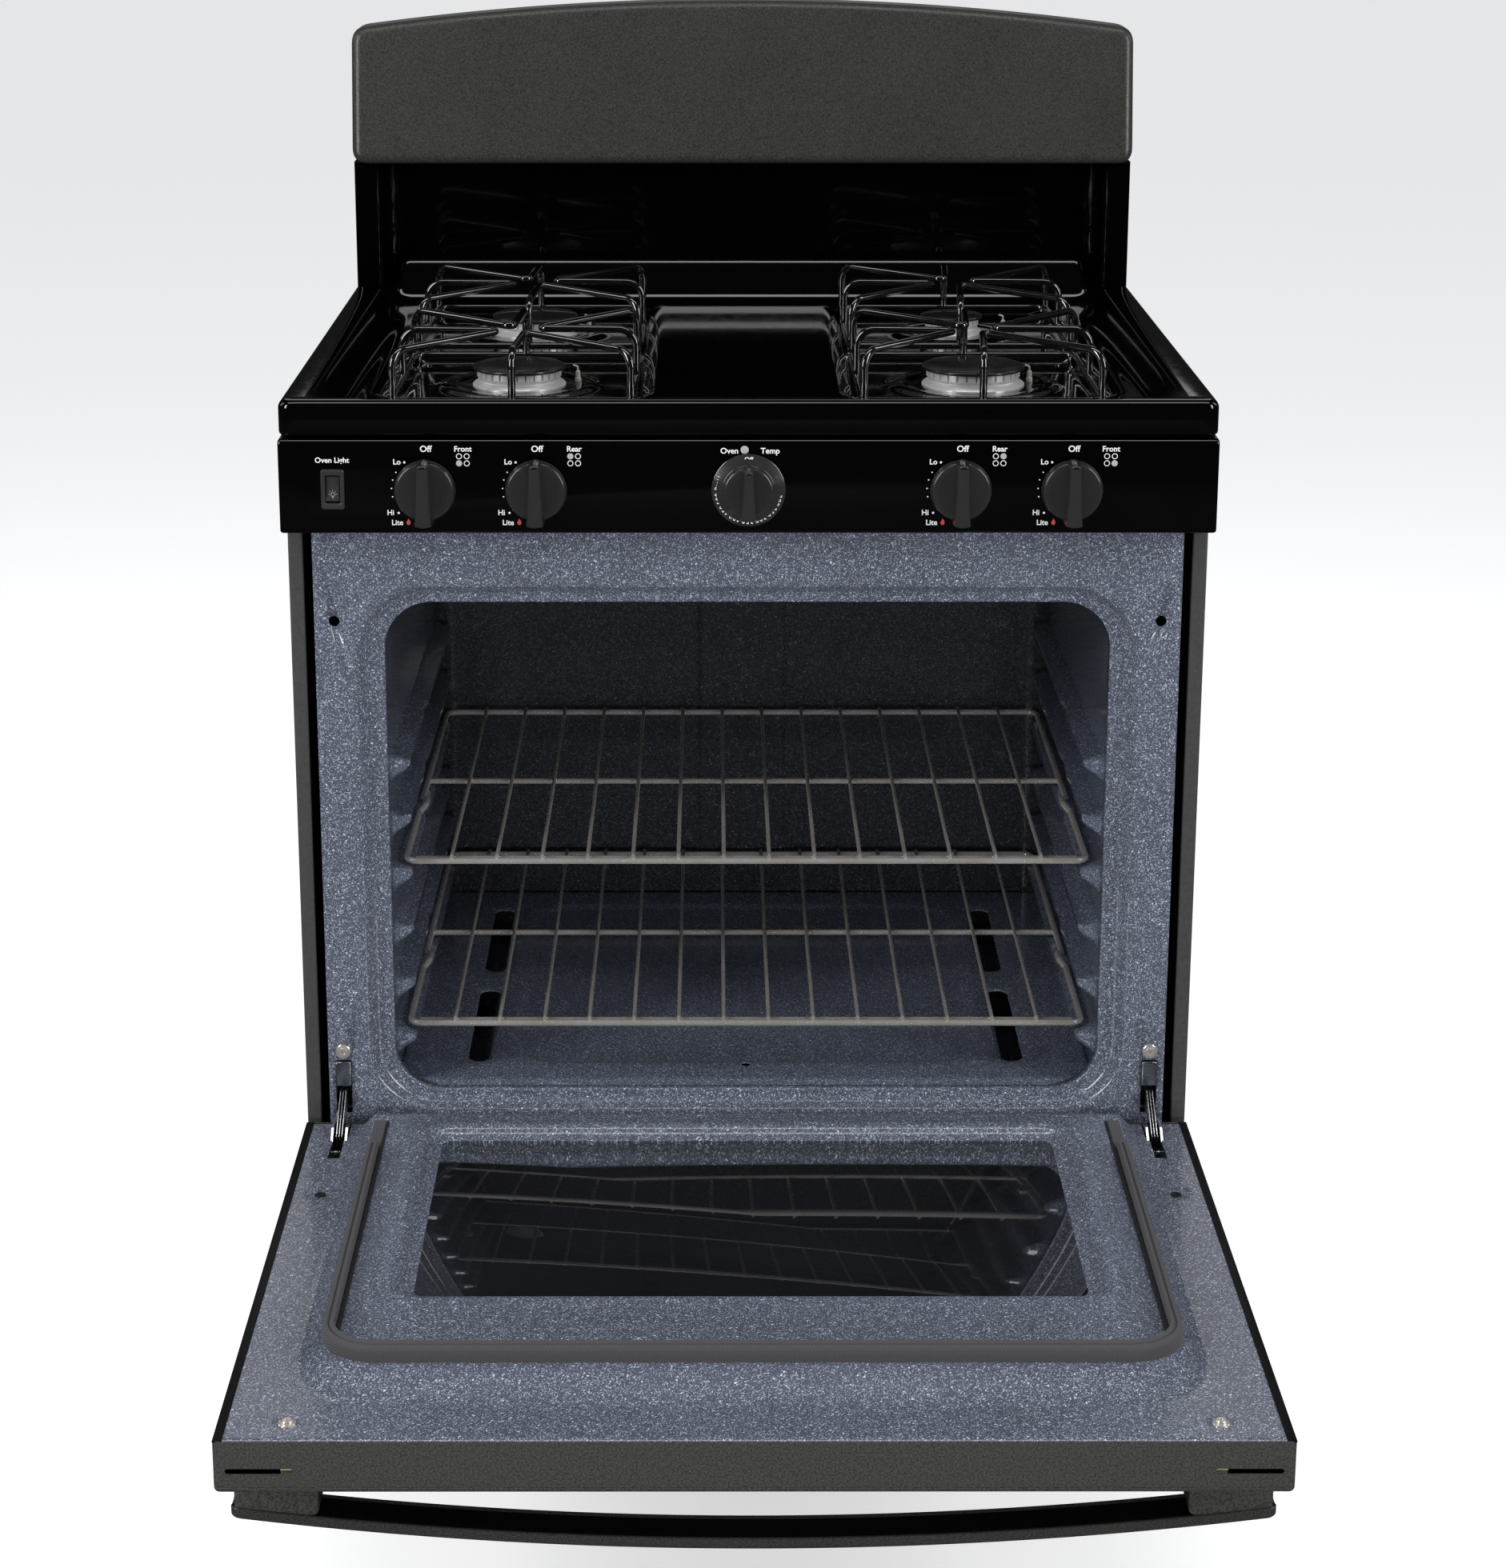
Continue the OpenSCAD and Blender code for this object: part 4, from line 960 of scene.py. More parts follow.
def make_switch():
    """Light switch: a bezel with a deep well, and a dished rocker with a small lamp sign on it."""
    b = Box("switch_housing")
    x, z = b.x, b.z
    outer = round_rect(b.x0, b.x1, b.z0, b.z1, 2.2, 5)
    inner = round_rect(x - 6, x + 6, z - 11.5, z + 11.5, 0.8, 5)
    rings = [upright(outer, b.y0 + 2), upright(outer, b.y0 + 0.7), upright(inset(outer, 0.8), b.y0),
             upright(inset(inner, -1.2), b.y0), upright(inset(inner, -0.3), b.y0 + 0.5),
             upright(inner, b.y0 + 1.2), upright(inner, b.y0 + 14)]
    add_mesh("switch_bezel", *loft(rings, cap=(False, True)), "switch_plastic", "cabinet", "switch_housing",
             sharp=40)
    r = Box("light_rocker")
    half, low, high = 5.5, -9.5, 10.4
    profile = []
    for t in np.linspace(-1, 1, 13):
        lean = 0.9 * t
        dish = 1.1 * (t * t - 1)
        profile.append((r.y0 + 1.3 + lean - dish * 0.6, z + (low + high) / 2 + t * (high - low) / 2))
    outline = profile + [(r.y0 + 8, z + high - 1), (r.y0 + 8, z + low + 1)]
    part = slab(list(reversed(outline)), x - half, x + half, 0.7, 0.7, along_x, 3)
    add_mesh("rocker_cap", *part, "switch_plastic", "light_rocker", "light_rocker", sharp=35)
    y = r.y0 + 1.02
    icon = [circle_mark(x, z - 4.2, 1.7, 0.35, y)]
    for a in (0, 45, 90, 135, 180):
        ca, sa = math.cos(math.radians(a)), math.sin(math.radians(a))
        p0, p1 = (x + 2.4 * ca, y - 0.02, z - 4.0 + 2.4 * sa), (x + 3.7 * ca, y - 0.02, z - 4.0 + 3.7 * sa)
        icon.append(tube([p0, p1], 0.16, 6))
    icon.append(tube([(x - 0.7, y - 0.02, z - 6.4), (x + 0.7, y - 0.02, z - 6.4)], 0.18, 6))
    icon.append(tube([(x - 0.6, y - 0.02, z - 7.1), (x + 0.6, y - 0.02, z - 7.1)], 0.18, 6))
    add_mesh("rocker_icon", *merge(icon), "grey_print", "light_rocker", (), "switch_plastic")


# ---------------------------------------------------------------- oven


def make_front_frame():
    """Porcelain frame: flat face, a dished ring round the opening, and a rolled opening edge."""
    b = Box("oven_front_frame")
    half, low, high = 303, 308, 743  # the oven opening
    slot_half, slot_low, slot_high = 6.8, 290.5, 339  # the hinges' slots
    hole_x, hole_z, hole_r = 343, 730, 4.5  # round holes near the top corners
    step = (40, 30)

    def ring(t, y):
        o = round_rect(-half - 22 * (1 - t), half + 22 * (1 - t), low - 16 * (1 - t), high + 16 * (1 - t),
                       60 - 20 * t, 14, step)
        return upright(o, y)

    def outer(d, y, r):
        return upright(round_rect(b.x0 + d, b.x1 - d, b.z0 + d, b.z1 - d, r, 14, step), y)

    rings = [outer(0.2, 25, 1.2), outer(0, 2, 1.4), outer(0.3, 0.9, 1.4), outer(1.0, 0.25, 1.2),
             outer(2, 0, 1.0)]
    for t, y in ((-0.28, 0), (-0.12, 0.15), (-0.02, 0.7), (0.06, 1.9), (0.14, 4.0), (0.22, 6.6),
                 (0.30, 8.9), (0.38, 10.6), (0.47, 11.6), (0.57, 12.0), (0.72, 12.0), (0.84, 11.7),
                 (0.91, 11.7), (0.96, 12.1), (0.99, 13.0), (1.0, 14.4), (1.0, 22)):
        rings.append(ring(t, y))
    obj = add_mesh("front_frame", *loft(rings), "speckled_porcelain", "cabinet", "oven_front_frame", sharp=50,
                   thickness=0.8)
    slots = [capsule(s * HINGE_X - slot_half, s * HINGE_X + slot_half, slot_low, slot_high, 2,
                     along_y, -6, 10) for s in (-1, 1)]
    holes = [capsule(s * hole_x - hole_r, s * hole_x + hole_r, hole_z - hole_r, hole_z + hole_r, hole_r,
                     along_y, -6, 10) for s in (-1, 1)]
    cut(obj, *slots, *holes)


def ledge_levels():
    """Heights of the six rack ledges, from where the two racks rest."""
    low, high = (Box(n).z0 + 3.2 for n in ("lower_rack", "upper_rack"))
    pitch = (high - low) / 3
    return [low + i * pitch for i in range(6)]


def make_cavity():
    """Oven lining: side walls pressed into rack guides, and a rear wall with an upright rib."""
    b = Box("oven_cavity")
    half = b.x1 - 2
    low, high, back = b.z0 + 2, b.z1 - 2, b.y1 - 2
    levels = ledge_levels()
    step = (60, 150)

    def ridge(y, z):
        """How far the side wall stands in at this height: a flat-topped guide under each rack level."""
        out = 0
        for level in levels:
            top = smooth((level - 3.7 - z) / 2.2)
            under = smooth((z - (level - 27)) / 15)
            out = max(out, float(top * under))
        ends = float(smooth((y - 26) / 16) * smooth((497 - y) / 16))
        dimple = 0.35 * float(np.exp(-((y - 205) / 14) ** 2))
        return (16 - 9 * dimple) * out * ends

    rings = []
    for y in (*np.linspace(22, 50, 13), *np.linspace(60, 460, 50), *np.linspace(468, back - 30, 9)):
        ring = []
        for x, z in round_rect(-half, half, low, high, 38, 10, step):
            side = abs(x) > half - 1.5
            ring.append((x - math.copysign(ridge(y, z), x) if side else x, y, z))
        rings.append(ring)
    # The side walls are drawn in the lighter copy of the lining porcelain: painted light.
    add_mesh("cavity_liner", *loft(rings), "cavity_side", "cabinet", "oven_cavity", "cavity_porcelain",
             sharp=60)
    bend = []
    for i in range(9):
        a = math.pi / 2 * i / 8
        o = inset(round_rect(-half, half, low, high, 38, 10, step), 30 * (1 - math.cos(a)))
        bend.append(upright(o, back - 30 + 30 * math.sin(a)))
    xs = lines(-half + 28, half - 28, 9, [-46, -43, -40, -37, 37, 40, 43, 46])
    zs = lines(low + 28, high - 28, 9)

    def depth(x, z):
        band = smooth((46 - np.abs(x)) / 8) * smooth((z - 322) / 10) * smooth((736 - z) / 10)
        return back - 0.15 - 5.6 * band

    verts, faces = height_grid(xs, zs, depth)
    rear = ([(x, d, z) for x, z, d in verts], faces)
    # The rear wall and its rounded corners are drawn in the darker copy of the lining porcelain: painted
    # shade.
    add_mesh("cavity_rear", *merge([loft(bend), rear]), "cavity_porcelain", "cabinet", "oven_cavity",
             sharp=60)


def make_oven_floor():
    """Floor panel with a raised middle, its front edge turned down, four slots and a finger hole."""
    b = Box("oven_floor")
    top = b.z1
    slot_x, slot_length, slot_starts = 236, 170, (70, 290)

    def height(x, y):
        front = smooth((b.y0 + 13 - y) / 12)
        panel = rect_distance(x, y, -205, 205, 66, 470, 40)
        slots = np.minimum(*(rect_distance(np.abs(x), y, slot_x - 12, slot_x + 12, y0, y0 + slot_length, 8)
                             for y0 in slot_starts))
        return top - 2.6 * front - 1.6 * smooth((4 - panel) / 10) - 1.2 * smooth((7 - slots) / 8)

    xs, ys = lines(-302, 302, 5, []), lines(b.y0, b.y1, 5, [b.y0 + e for e in (2, 4, 6, 8, 10, 12)])
    verts, faces = height_grid(xs, ys, height)
    # The floor is drawn in the lighter copy of the lining porcelain: painted light.
    obj = add_mesh("floor_panel", verts, faces, "cavity_side", "cabinet", "oven_floor", "cavity_porcelain",
                   sharp=60, thickness=0.9)
    slots = [capsule(s * slot_x - 9.5, s * slot_x + 9.5, y, y + slot_length, 9.4, along_z, top - 12, top + 6)
             for s in (-1, 1) for y in slot_starts]
    cut(obj, *slots, capsule(-4, 4, 56, 64, 3.9, along_z, top - 12, top + 6))


def make_rack(name):
    """Wire rack: a frame with a stop bent up in each side, cross bars, and fourteen wires over them."""
    b = Box(name)
    z = b.z0 + 3.2
    near, far = b.y0 + 2, b.y1 - 2
    half = b.x1 - 3.2
    middle = (near + far) / 2
    frame_path = [(half, near, z), (half, near + 132, z), (half - 5, near + 145, z + 3.4),
                  (half - 5, near + 160, z + 3.4), (half, near + 173, z), (half, far, z)]
    loop = [(-x, y, h) for x, y, h in frame_path] + list(reversed(frame_path))
    radii = [11, 5, 4, 4, 5, 11, 11, 5, 4, 4, 5, 11]
    parts = [tube(arc_path(loop, radii, 6, closed=True), 2.9, 12, closed=True),
             tube([(-half + 1, middle, z), (half - 1, middle, z)], 2.6, 12),
             tube([(-half + 8, near + 9, z - 0.2), (half - 8, near + 9, z - 0.2)], 1.8, 10)]
    wires, pitch = 14, 39
    for i in range(wires):
        x = (i - (wires - 1) / 2) * pitch
        path = [(x, near - 1.8, z + 2.2), (x, near + 1.4, z + 4.4),
                (x, far - 1.4, z + 4.4), (x, far + 1.8, z + 2.2)]
        parts.append(tube(arc_path(path, 3, 3), 1.75, 10))
    add_mesh(name + "_wires", *merge(parts), "rack_chrome", name, name, sharp=50)


def make_lamp():
    """Oven lamp: a collar and a domed glass."""
    b = Box("oven_lamp")
    x, z = b.x, b.z
    y = b.y0 + 9
    ring = [(25.5, y - 0.2), (25.8, y - 1.6), (24.6, y - 2.6), (22.8, y - 2.8), (22.3, y - 1.4)]
    dome = [(22.2, y - 1.4), (21.8, y - 3.4), (20.2, y - 5.6), (17, y - 7.4), (12, y - 8.4), (6, y - 8.9),
            (0, y - 9)]
    collar = lathe(ring, (x, 0, z), "y", 64)
    lens = lathe(dome, (x, 0, z), "y", 64)
    add_mesh("lamp_lens", *lens, "lamp_glass", "cabinet", "oven_lamp")
    add_mesh("lamp_collar", *collar, "rack_chrome", "cabinet", "oven_lamp", sharp=50)


# ---------------------------------------------------------------- door


# Where the liner's screws and rivets are, X to each side and Y.
SCREW_AT = (329, -538)
RIVET_AT = (350, -158)


def window_opening():
    """The door window's half width, far side and near side, from the glass that lies under its edges."""
    g = Box("door_inner_glass")
    return g.x1 - 12, g.y0 + 12, g.y1 - 12


def make_liner():
    """Pressed porcelain liner: flat flange, sloped step up to the raised panel, rolled rim at the window."""
    b = Box("door_liner")
    flange, top = b.z1 - 12, b.z1
    far, near = -478, -25  # the raised panel's ends
    half, corner = 318, 46
    wide, w_far, w_near = window_opening()
    mouth, sweep = (HINGE_X - 8, HINGE_X + 8), (HINGE_X - 5, HINGE_X + 5)  # the hinge opening, wide and long

    def height(x, y):
        qx, qy = np.abs(x) - half + corner, -(y - far) + corner
        d = rect_distance(x, y, -half, half, far, 200, corner)
        facing = np.where((qx > 0) & (qy > 0), qy ** 2 / np.maximum(qx ** 2 + qy ** 2, 1e-6), (qy > 0) * 1.0)
        width = 12.5 + 21.5 * facing
        fall = np.clip(d / width, 0, 1)
        z = flange + (top - flange) * (1 - (0.3 * smooth(fall) + 0.7 * fall))
        hinge_end = smooth((y - near) / 7)
        z = z * (1 - hinge_end) + flange * hinge_end
        for (sx, sy), r, deep in ((SCREW_AT, 12, 0.7), (RIVET_AT, 11, 2.2)):
            z = z - deep * smooth((r - np.hypot(np.abs(x) - sx, y - sy)) / 6)
        edge = -rect_distance(x, y, b.x0, b.x1, b.y0, b.y1, 3)
        return z - 1.6 * (1 - smooth(edge / 2.5))

    turns = (306, 310, *range(312, 331, 2), *mouth, *sweep, 375.5, 376.3)
    xs = lines(b.x0, b.x1, 4, [s * e for s in (-1, 1) for e in turns])
    ys = lines(b.y0, b.y1, 4, [b.y0 + 0.7, b.y0 + 1.5, -25, -23, -21, -19, -18, -90, -54, -12])

    def keep(x, y):
        out = np.abs(x)
        window = rect_distance(x, y, -wide, wide, w_far, w_near, 16) > 15
        wide_part = (out > mouth[0]) & (out < mouth[1]) & (y > -54) & (y < -12)
        long_part = (out > sweep[0]) & (out < sweep[1]) & (y > -90) & (y < -12)
        return window & ~wide_part & ~long_part

    sheet = height_grid(xs, ys, height, keep)
    bezel = []
    for d, z in ((24, -0.02), (22.5, 0.04), (20, 0.3), (17, 0.7), (14, 1.0), (11, 1.15), (8.5, 1.1),
                 (6, 0.7), (4, 0), (2.4, -1.0), (1.2, -2.2), (0, -3.4), (-2.5, -4.8), (-5.5, -5.9),
                 (-8.5, -6.6), (-9.5, -7.2)):
        o = round_rect(-wide - d, wide + d, w_far - d, w_near + d, 16 + d * 0.75, 10, (60, 30))
        bezel.append(level(o, top + z))
    add_mesh("liner", *merge([sheet, loft(bezel)]), "speckled_porcelain", "door", "door_liner", sharp=60)


def make_inner_glass():
    b = Box("door_inner_glass")
    part = slab(round_rect(b.x0, b.x1, b.y0, b.y1, 6, 5), b.z0, b.z1, 0.4, 0.4, along_z, 2)
    add_mesh("inner_glass", *part, "door_glass", "door", "door_inner_glass")


def make_gasket():
    """Ribbed woven bead round three sides of the raised panel, with a thin black strip inside it as painted
    shade, and flat tails.
    """
    b = Box("door_gasket")
    r = 6
    x, far = b.x1 - r, b.y0 + r
    near, bead_end = b.y1, -92
    path = arc_path([(-x, near, 0), (-x, far, 0), (x, far, 0), (x, near, 0)], 38, 14)
    fine = []
    for p, q in zip(path[:-1], path[1:]):
        count = max(1, round(float(np.linalg.norm(q - p)) / 7))
        fine += [p + (q - p) * k / count for k in range(count)]
    fine.append(path[-1])
    p = np.array(fine)
    t = np.gradient(p, axis=0)
    t /= np.linalg.norm(t, axis=1)[:, None]
    side = np.column_stack([-t[:, 1], t[:, 0]])
    bead = [(-6.0, 0), (-6.0, 4.0), (-5.6, 8.0), (-4.8, 10.4), (-3.6, 11.4), (-2.2, 12.1), (-1.2, 11.7),
            (-0.4, 10.6), (0.6, 11.4), (1.8, 13.1), (3.0, 13.4), (3.9, 12.4), (4.4, 10.0), (4.5, 6.0),
            (4.5, 0)]
    # The clip section is a thin black strip along the bead's inner side that stands in for the shade in the
    # gap there: painted shade, in the hole_shadow black.
    clip = [(4.3, 0), (4.3, 7.5), (6.0, 7.3), (6.8, 6.4), (6.8, 0)]
    for name, section, material in (("gasket", bead, "gasket_braid"), ("gasket_shade_strip", clip, "hole_shadow")):
        rings = []
        for point, s in zip(p, side):
            up = 0.11 + 0.89 * float(smooth((bead_end + 8 - point[1]) / 30))
            rings.append([(point[0] + s[0] * a, point[1] + s[1] * a, b.z0 + h * up) for a, h in section])
        add_mesh(name, *loft(rings, cap=(True, True)), material, "door", "door_gasket", "gasket_braid",
                 sharp=50)


def make_shell():
    """Door's outer skin with its window and vent slots, two dark side lips, and the outer glass."""
    b = Box("door_shell")
    step = (40, 30)
    wide, w_far, w_near = window_opening()

    def outer(d, z, r=4):
        return level(round_rect(b.x0 + d, b.x1 - d, b.y0 + d, b.y1 - d, r, 6, step), z)

    def window(d, z):
        return level(round_rect(-wide + d, wide - d, w_far + d, w_near - d, 12, 6, step), z)

    rings = [outer(1.1, b.z1 - 6), outer(1.1, b.z1 - 0.6), outer(0.6, b.z1 - 0.05), outer(0.15, b.z1 - 0.5),
             outer(0, b.z1 - 1.4), outer(0, b.z0 + 7), outer(0, b.z0 + 4.9), outer(0.45, b.z0 + 4.5),
             outer(0.45, b.z0 + 4.2), outer(0, b.z0 + 3.8), outer(0.1, b.z0 + 2.6), outer(0.8, b.z0 + 0.9),
             outer(2.2, b.z0 + 0.1), outer(4, b.z0), window(-3, b.z0), window(-1, b.z0 + 0.15),
             window(-0.2, b.z0 + 0.7), window(0, b.z0 + 1.5), window(0, b.z0 + 1.6)]
    obj = add_mesh("door_skin", *loft(rings), "door_finish", "door", "door_shell", "charcoal_finish",
                   sharp=40, thickness=0.7)
    vent_x, vent_half, z = 346, 24, b.z0 + 17
    vents = [capsule(s * vent_x - vent_half, s * vent_x + vent_half, z - 2, z + 2, 1.95,
                     along_y, b.y0 - 5, b.y0 + 5) for s in (-1, 1)]
    cut(obj, *vents)
    lip = box_part(b.x1 - 7, b.x1 - 0.2, b.y0 + 0.5, b.y1 - 0.5, b.z1 - 1, b.z1 + 0.35, 0.3)
    add_mesh("door_side_lips", *both(lip), "handle_finish", "door", "door_shell", "charcoal_finish", sharp=40)
    g = Box("door_outer_glass")
    glass = slab(round_rect(g.x0, g.x1, g.y0, g.y1, 8, 5), g.z0, g.z1, 0.4, 0.4, along_z, 2)
    add_mesh("outer_glass", *glass, "door_glass", "door", "door_outer_glass")


def make_handle():
    """Bowed bar with a hollow in its upper face, on two flat brackets."""
    b = Box("door_handle")
    bow, thick = 25, 8
    lip, dip = 2.4, 3.2  # the hollow's front lip and its depth
    pinch = 7  # length of the rounded ends
    deep = b.y1 - b.y0
    bow_r = (b.x1 ** 2 + bow ** 2) / (2 * bow)

    def dish(t):
        return thick - dip * math.sin(math.pi * t) ** 0.7

    floor = [(lip + (deep - lip - 1.2) * t, dish(t)) for t in np.linspace(0, 1, 12)]
    skin = [(0.9, thick), (0.25, thick - 0.3), (0, thick - 1), (0, 1), (0.3, 0.3), (1, 0), (deep - 1, 0),
            (deep - 0.3, 0.3), (deep, 1), (deep, thick - 0.6), (deep - 0.5, thick)] + floor[::-1]
    hollow = [(a, h + 0.3) for a, h in floor[1:-1]] + [(a, h - 0.3) for a, h in floor[1:-1][::-1]]
    ends = [0, 0.4, 1.2, 2.6, 4.6, pinch]
    middle = list(np.linspace(b.x0 + 12, b.x1 - 12, 72))
    stations = [b.x0 + e for e in ends] + middle + [b.x1 - e for e in ends[::-1]]

    def sweep(section, margin):
        rings = []
        for x in stations:
            if min(x - b.x0, b.x1 - x) < margin:
                continue
            near_end = min(1, min(x - b.x0, b.x1 - x) / pinch)
            shrink = 0.62 + 0.38 * math.sqrt(1 - (1 - near_end) ** 2)
            y, z = b.y0 + deep / 2, b.z0 + bow_r - math.sqrt(bow_r ** 2 - x * x)
            rings.append([(x, y + (a - deep / 2) * shrink, z + thick / 2 + (h - thick / 2) * shrink)
                          for a, h in section])
        return loft(rings, cap=(True, True))

    add_mesh("handle_bar", *sweep(skin, 0), "charcoal_finish", "door", "door_handle", "handle_finish",
             sharp=50)
    add_mesh("handle_hollow", *sweep(hollow, 1), "handle_finish", "door", "door_handle", sharp=50)
    h = Box("handle_brackets")
    inner, outer = h.x1 - 60, h.x1
    corners = [(inner, h.z1), (inner, h.z0 + 0.5), (outer, h.z0), (outer, h.z1)]
    outline = arc_path(corners, [0, 5, 2, 0], 6, closed=True)
    bracket = slab(outline, h.y0, h.y1, 1.5, 1.5, along_y, 3)
    add_mesh("bracket_pair", *both(bracket), "door_finish", "door", "handle_brackets", "charcoal_finish",
             sharp=50)


def screw_head(x, y, z, r=6.4):
    """Flanged screw head standing on a face, with a recess in its top."""
    profile = [(r, 0), (r, 0.7), (r - 0.5, 1.15), (4.3, 1.3), (4.2, 2.6), (3.7, 3.2), (2.6, 3.4),
               (1.9, 3.3), (1.5, 1.6), (0, 1.4)]
    return lathe(profile, (x, y, z), "z", 32)


def make_screws():
    """Screws and rivets of the door liner, and the screws above the hinges' slots."""
    flange = Box("door_liner").z1 - 12
    heads = merge([screw_head(*SCREW_AT, flange - 0.7)])
    add_mesh("liner_screws", *both(heads), "rack_chrome", "door", "door_screws", sharp=35)
    # The rivets are drawn in the hole_shadow black and not in the zinc of their slot: painted shade.
    low = lathe([(4.6, 0), (4.4, 0.8), (2.6, 1.1), (2.2, 0.2), (0, 0.1)], (*RIVET_AT, flange - 2.1), "z", 28)
    add_mesh("liner_rivets", *both(low), "hole_shadow", "door", "door_screws", "zinc")
    v, f = screw_head(0, 0, 0)
    z = Box("frame_screws").z
    turned = ([(x + HINGE_X, -h, y + z) for x, y, h in v], f)
    add_mesh("hinge_screws", *both(turned), "rack_chrome", "cabinet", "frame_screws", sharp=35)


# ---------------------------------------------------------------- hinges


def make_hinges():
    """Door hinges: three steel strips each side, from the pivot into the frame's slot, under a bright pad."""
    corners = [(-46, 278), (-40, 262), (-28, 262), (2, 296), (18, 296), (18, 310), (-6, 314), (-48, 289)]
    side = arc_path(corners, [4, 6, 6, 5, 3, 3, 8, 4], 5, closed=True)
    strips = []
    for middle, width in ((-2.3, 0.7), (0, 0.6), (2.3, 0.7)):
        x = HINGE_X + middle
        strips.append(slab(side, x - width / 2, x + width / 2, 0.15, 0.15, along_x, 2))
    add_mesh("hinge_strips", *both(merge(strips)), "zinc", "cabinet", "hinge_arms", sharp=35)
    pad = slab(round_rect(HINGE_X - 6.5, HINGE_X + 6.5, 316, 338, 1.5), -0.8, -2.8, 0, 1.0, along_y, 4)
    tab = box_part(HINGE_X - 5, HINGE_X + 5, -1.2, 20, 336, 337.8, 0.3)
    add_mesh("hinge_pads", *both(merge([pad, tab])), "zinc", "cabinet", "hinge_receivers", sharp=35)
    r = Box("hinge_receivers")
    cheeks = [box_part(x, x + 1.6, 1.8, r.y1, r.z0, r.z1, 0.4) for x in (HINGE_X - 8.8, HINGE_X + 7.2)]
    cheeks.append(box_part(HINGE_X - 7.2, HINGE_X + 7.2, r.y1 - 2, r.y1, r.z0, r.z1, 0.4))
    cheeks.append(lathe([(3, HINGE_X - 7), (3, HINGE_X + 7)], (0, 14, 290), "x", 24))
    add_mesh("receiver_brackets", *both(merge(cheeks)), "galvanised", "cabinet", "hinge_receivers", sharp=35)


# ---------------------------------------------------------------- cabinet outside


def make_side_panels():
    """Sheet panels with narrow flanges turned in at the front and the rear."""
    b = Box("side_panels")
    x, sheet = b.x1 - 0.01, 1.1
    flange, rear_flange, return_depth = 12, 18, 6
    corners = [(x - rear_flange, b.y1), (x - rear_flange, b.y1 - sheet), (x - sheet, b.y1 - sheet),
               (x - sheet, b.y0 + sheet), (x - flange + sheet, b.y0 + sheet),
               (x - flange + sheet, b.y0 + return_depth), (x - flange, b.y0 + return_depth),
               (x - flange, b.y0), (x, b.y0), (x, b.y1)]
    plan = arc_path(corners, [0, 0, 1, 1, 0.4, 0, 0, 1.2, 2.4, 2], 6, closed=True)
    rings = [level(plan, z) for z in lines(b.z0, b.z1, 40)]
    add_mesh("panel_pair", *both(loft(rings, cap=(True, True))), "side_enamel", "cabinet", "side_panels",
             sharp=50)


def make_legs():
    """Four levelling legs, each a stepped foot, a hexagon nut and a threaded stud."""
    b = Box("leveling_legs")
    foot = [(15, 0), (16.6, 0.8), (17, 2), (17, 9), (16, 11.5), (13, 12.6), (12, 14), (12, 20), (11, 22),
            (6, 22)]
    parts = []
    for x in (b.x0 + 17, b.x1 - 17):
        for y in (b.y0 + 17, b.y1 - 17):
            pad = lathe(foot, (x, y, 0), "z", 40)
            nut = lathe([(9.4, 22.2), (9.7, 23), (9.7, 29), (9.4, 29.8), (5, 29.8)], (x, y, 0), "z", 6)
            stud = lathe([(5 - (0.5 if k % 2 else 0), 29.8 + k * 0.9) for k in range(32)], (x, y, 0), "z", 20)
            parts += [pad, nut, stud]
    add_mesh("legs", *merge(parts), "leg_plastic", "cabinet", "leveling_legs", sharp=35)


def make_drawer_front():
    """Bottom drawer's face, its top edge rolled forward as a finger lip."""
    b = Box("drawer_front")
    corners = [(b.y1, b.z0), (b.y0 + 1, b.z0), (b.y0, b.z0 + 20), (b.y0, b.z1 - 34), (b.y0 + 7, b.z1 - 22),
               (b.y0 + 7, b.z1 - 12), (b.y0, b.z1 - 8), (b.y0, b.z1), (b.y1, b.z1)]
    profile = arc_path(corners, [1, 5, 3, 5, 4, 4, 3, 3, 1], 6, closed=True)
    part = slab(profile, b.x0, b.x1, 2, 2, along_x, 4)
    add_mesh("drawer_face", *part, "charcoal_finish", "drawer", "drawer_front", sharp=50)


# ---------------------------------------------------------------- stage and light


def seen_or_lit(tree, seen, lit, mirrored_in):
    """A shader that looks one way to the camera, another way as light, and another in glossy reflections."""
    path = tree.nodes.new("ShaderNodeLightPath")
    last = lit
    for ray, shader in (("Is Glossy Ray", mirrored_in), ("Is Camera Ray", seen)):
        mix = tree.nodes.new("ShaderNodeMixShader")
        tree.links.new(path.outputs[ray], mix.inputs[0])
        tree.links.new(last, mix.inputs[1])
        tree.links.new(shader, mix.inputs[2])
        last = mix.outputs[0]
    return last


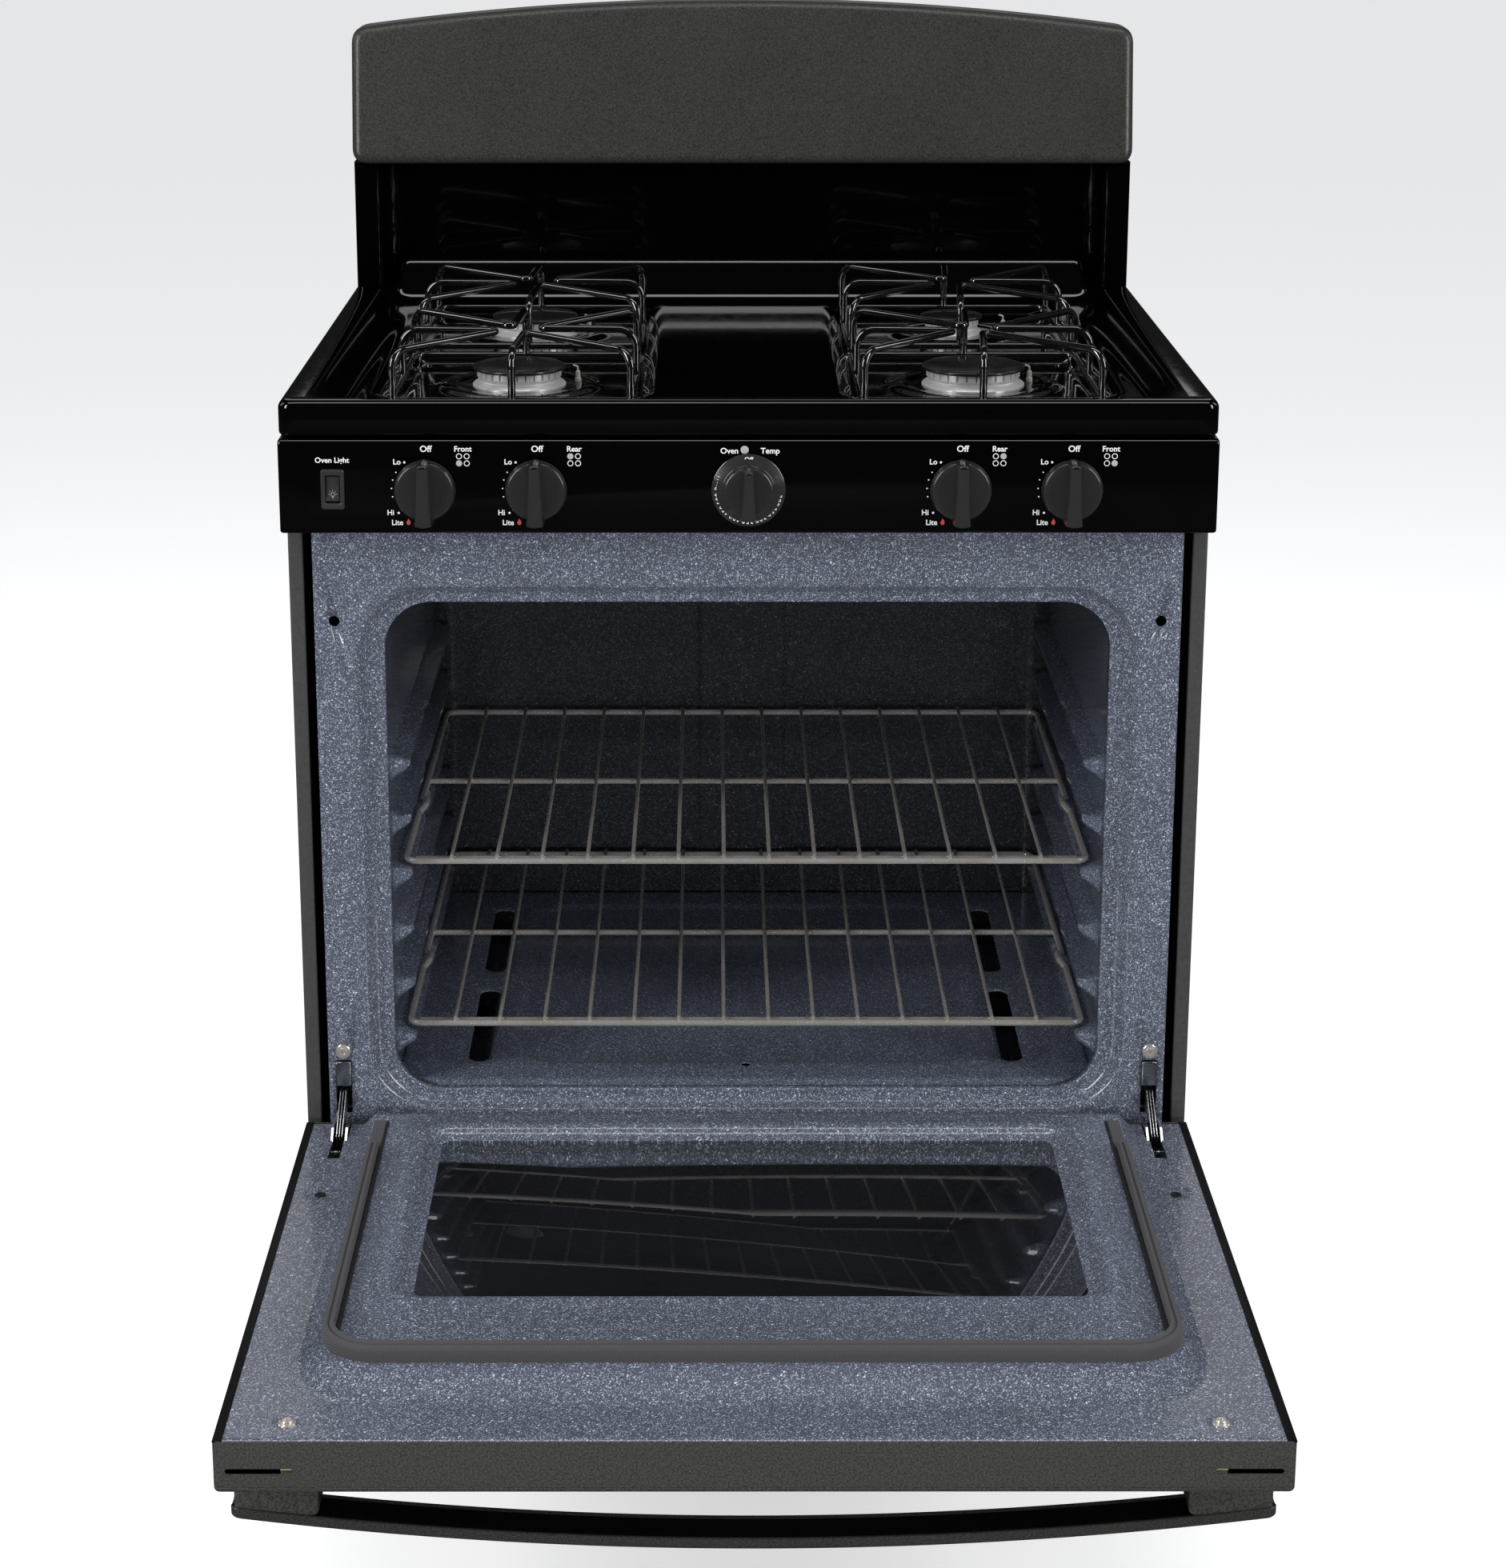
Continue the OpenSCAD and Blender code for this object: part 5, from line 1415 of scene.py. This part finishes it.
def make_stage():
    """Plain pale floor and pale surroundings, kept dim in reflections so that the gloss stays black."""
    bm = bmesh.new()
    bmesh.ops.create_grid(bm, x_segments=1, y_segments=1, size=30)
    mesh = bpy.data.meshes.new("floor")
    bm.to_mesh(mesh)
    bm.free()
    floor = new_object("floor", mesh)
    pale = bpy.data.materials.new("pale_floor")
    pale.use_nodes = True
    tree = pale.node_tree
    shaders = {}
    for key, grey in (("seen", 0.9), ("lit", 0.55), ("mirrored", 0.03)):
        shaders[key] = tree.nodes.new("ShaderNodeBsdfDiffuse")
        shaders[key].inputs["Color"].default_value = (grey, grey, grey, 1)
    glow = tree.nodes.new("ShaderNodeEmission")
    glow.inputs["Strength"].default_value = 0.42
    both_seen = tree.nodes.new("ShaderNodeAddShader")
    tree.links.new(shaders["seen"].outputs[0], both_seen.inputs[0])
    tree.links.new(glow.outputs[0], both_seen.inputs[1])
    last = seen_or_lit(tree, both_seen.outputs[0], shaders["lit"].outputs[0], shaders["mirrored"].outputs[0])
    tree.links.new(last, tree.nodes["Material Output"].inputs["Surface"])
    floor.data.materials.append(pale)
    world = bpy.data.worlds.new("studio")
    world.use_nodes = True
    bpy.context.scene.world = world
    tree = world.node_tree
    glows = []
    for colour, strength in (((1, 1, 1, 1), 0.95), ((0.95, 0.97, 1, 1), 0.42), ((0.95, 0.97, 1, 1), 0.015)):
        glow = tree.nodes.new("ShaderNodeBackground")
        glow.inputs["Color"].default_value = colour
        glow.inputs["Strength"].default_value = strength
        glows.append(glow.outputs[0])
    tree.links.new(seen_or_lit(tree, *glows), tree.nodes["World Output"].inputs["Surface"])


def lamp(name, at, aim, size, power, mirrored_in_gloss=True):
    """An area light at one point, aimed at another, in metres and watts."""
    data = bpy.data.lights.new(name, "AREA")
    data.shape, data.size, data.size_y = "RECTANGLE", size[0], size[1]
    data.energy = power
    obj = new_object(name, data)
    obj.location = at
    obj.rotation_euler = (Vector(aim) - Vector(at)).to_track_quat("-Z", "Y").to_euler()
    obj.visible_glossy = mirrored_in_gloss


def make_lights():
    lamp("key_left", (-2.9, -1.9, 2.3), (0, 0, 0.7), (0.8, 2.2), 70)
    lamp("key_right", (3.0, -1.7, 2.1), (0, 0, 0.7), (0.7, 2.2), 55)
    lamp("overhead", (0, -0.2, 3.5), (0, 0, 0.5), (3.0, 0.5), 20)
    lamp("front_fill", (0, -4.2, 0.9), (0, 0, 0.6), (1.8, 0.5), 66, mirrored_in_gloss=False)
    lamp("rear", (0, 3.0, 2.4), (0, 0, 0.8), (2.4, 1.6), 6)
    for name, x in (("side_left", -2.8), ("side_right", 2.8)):
        lamp(name, (x, 0.7, 2.3), (0, -0.2, 0.5), (0.5, 1.6), 8)


bpy.context.scene.view_settings.view_transform = "Standard"
make_backguard()
make_backsplash()
make_cooktop()
make_burners()
make_grates()
make_panel()
make_knobs()
make_dial()
make_switch()
make_markings()
make_front_frame()
make_cavity()
make_oven_floor()
make_rack("upper_rack")
make_rack("lower_rack")
make_lamp()
make_liner()
make_inner_glass()
make_gasket()
make_shell()
make_handle()
make_screws()
make_hinges()
make_side_panels()
make_legs()
make_drawer_front()
make_stage()
make_lights()
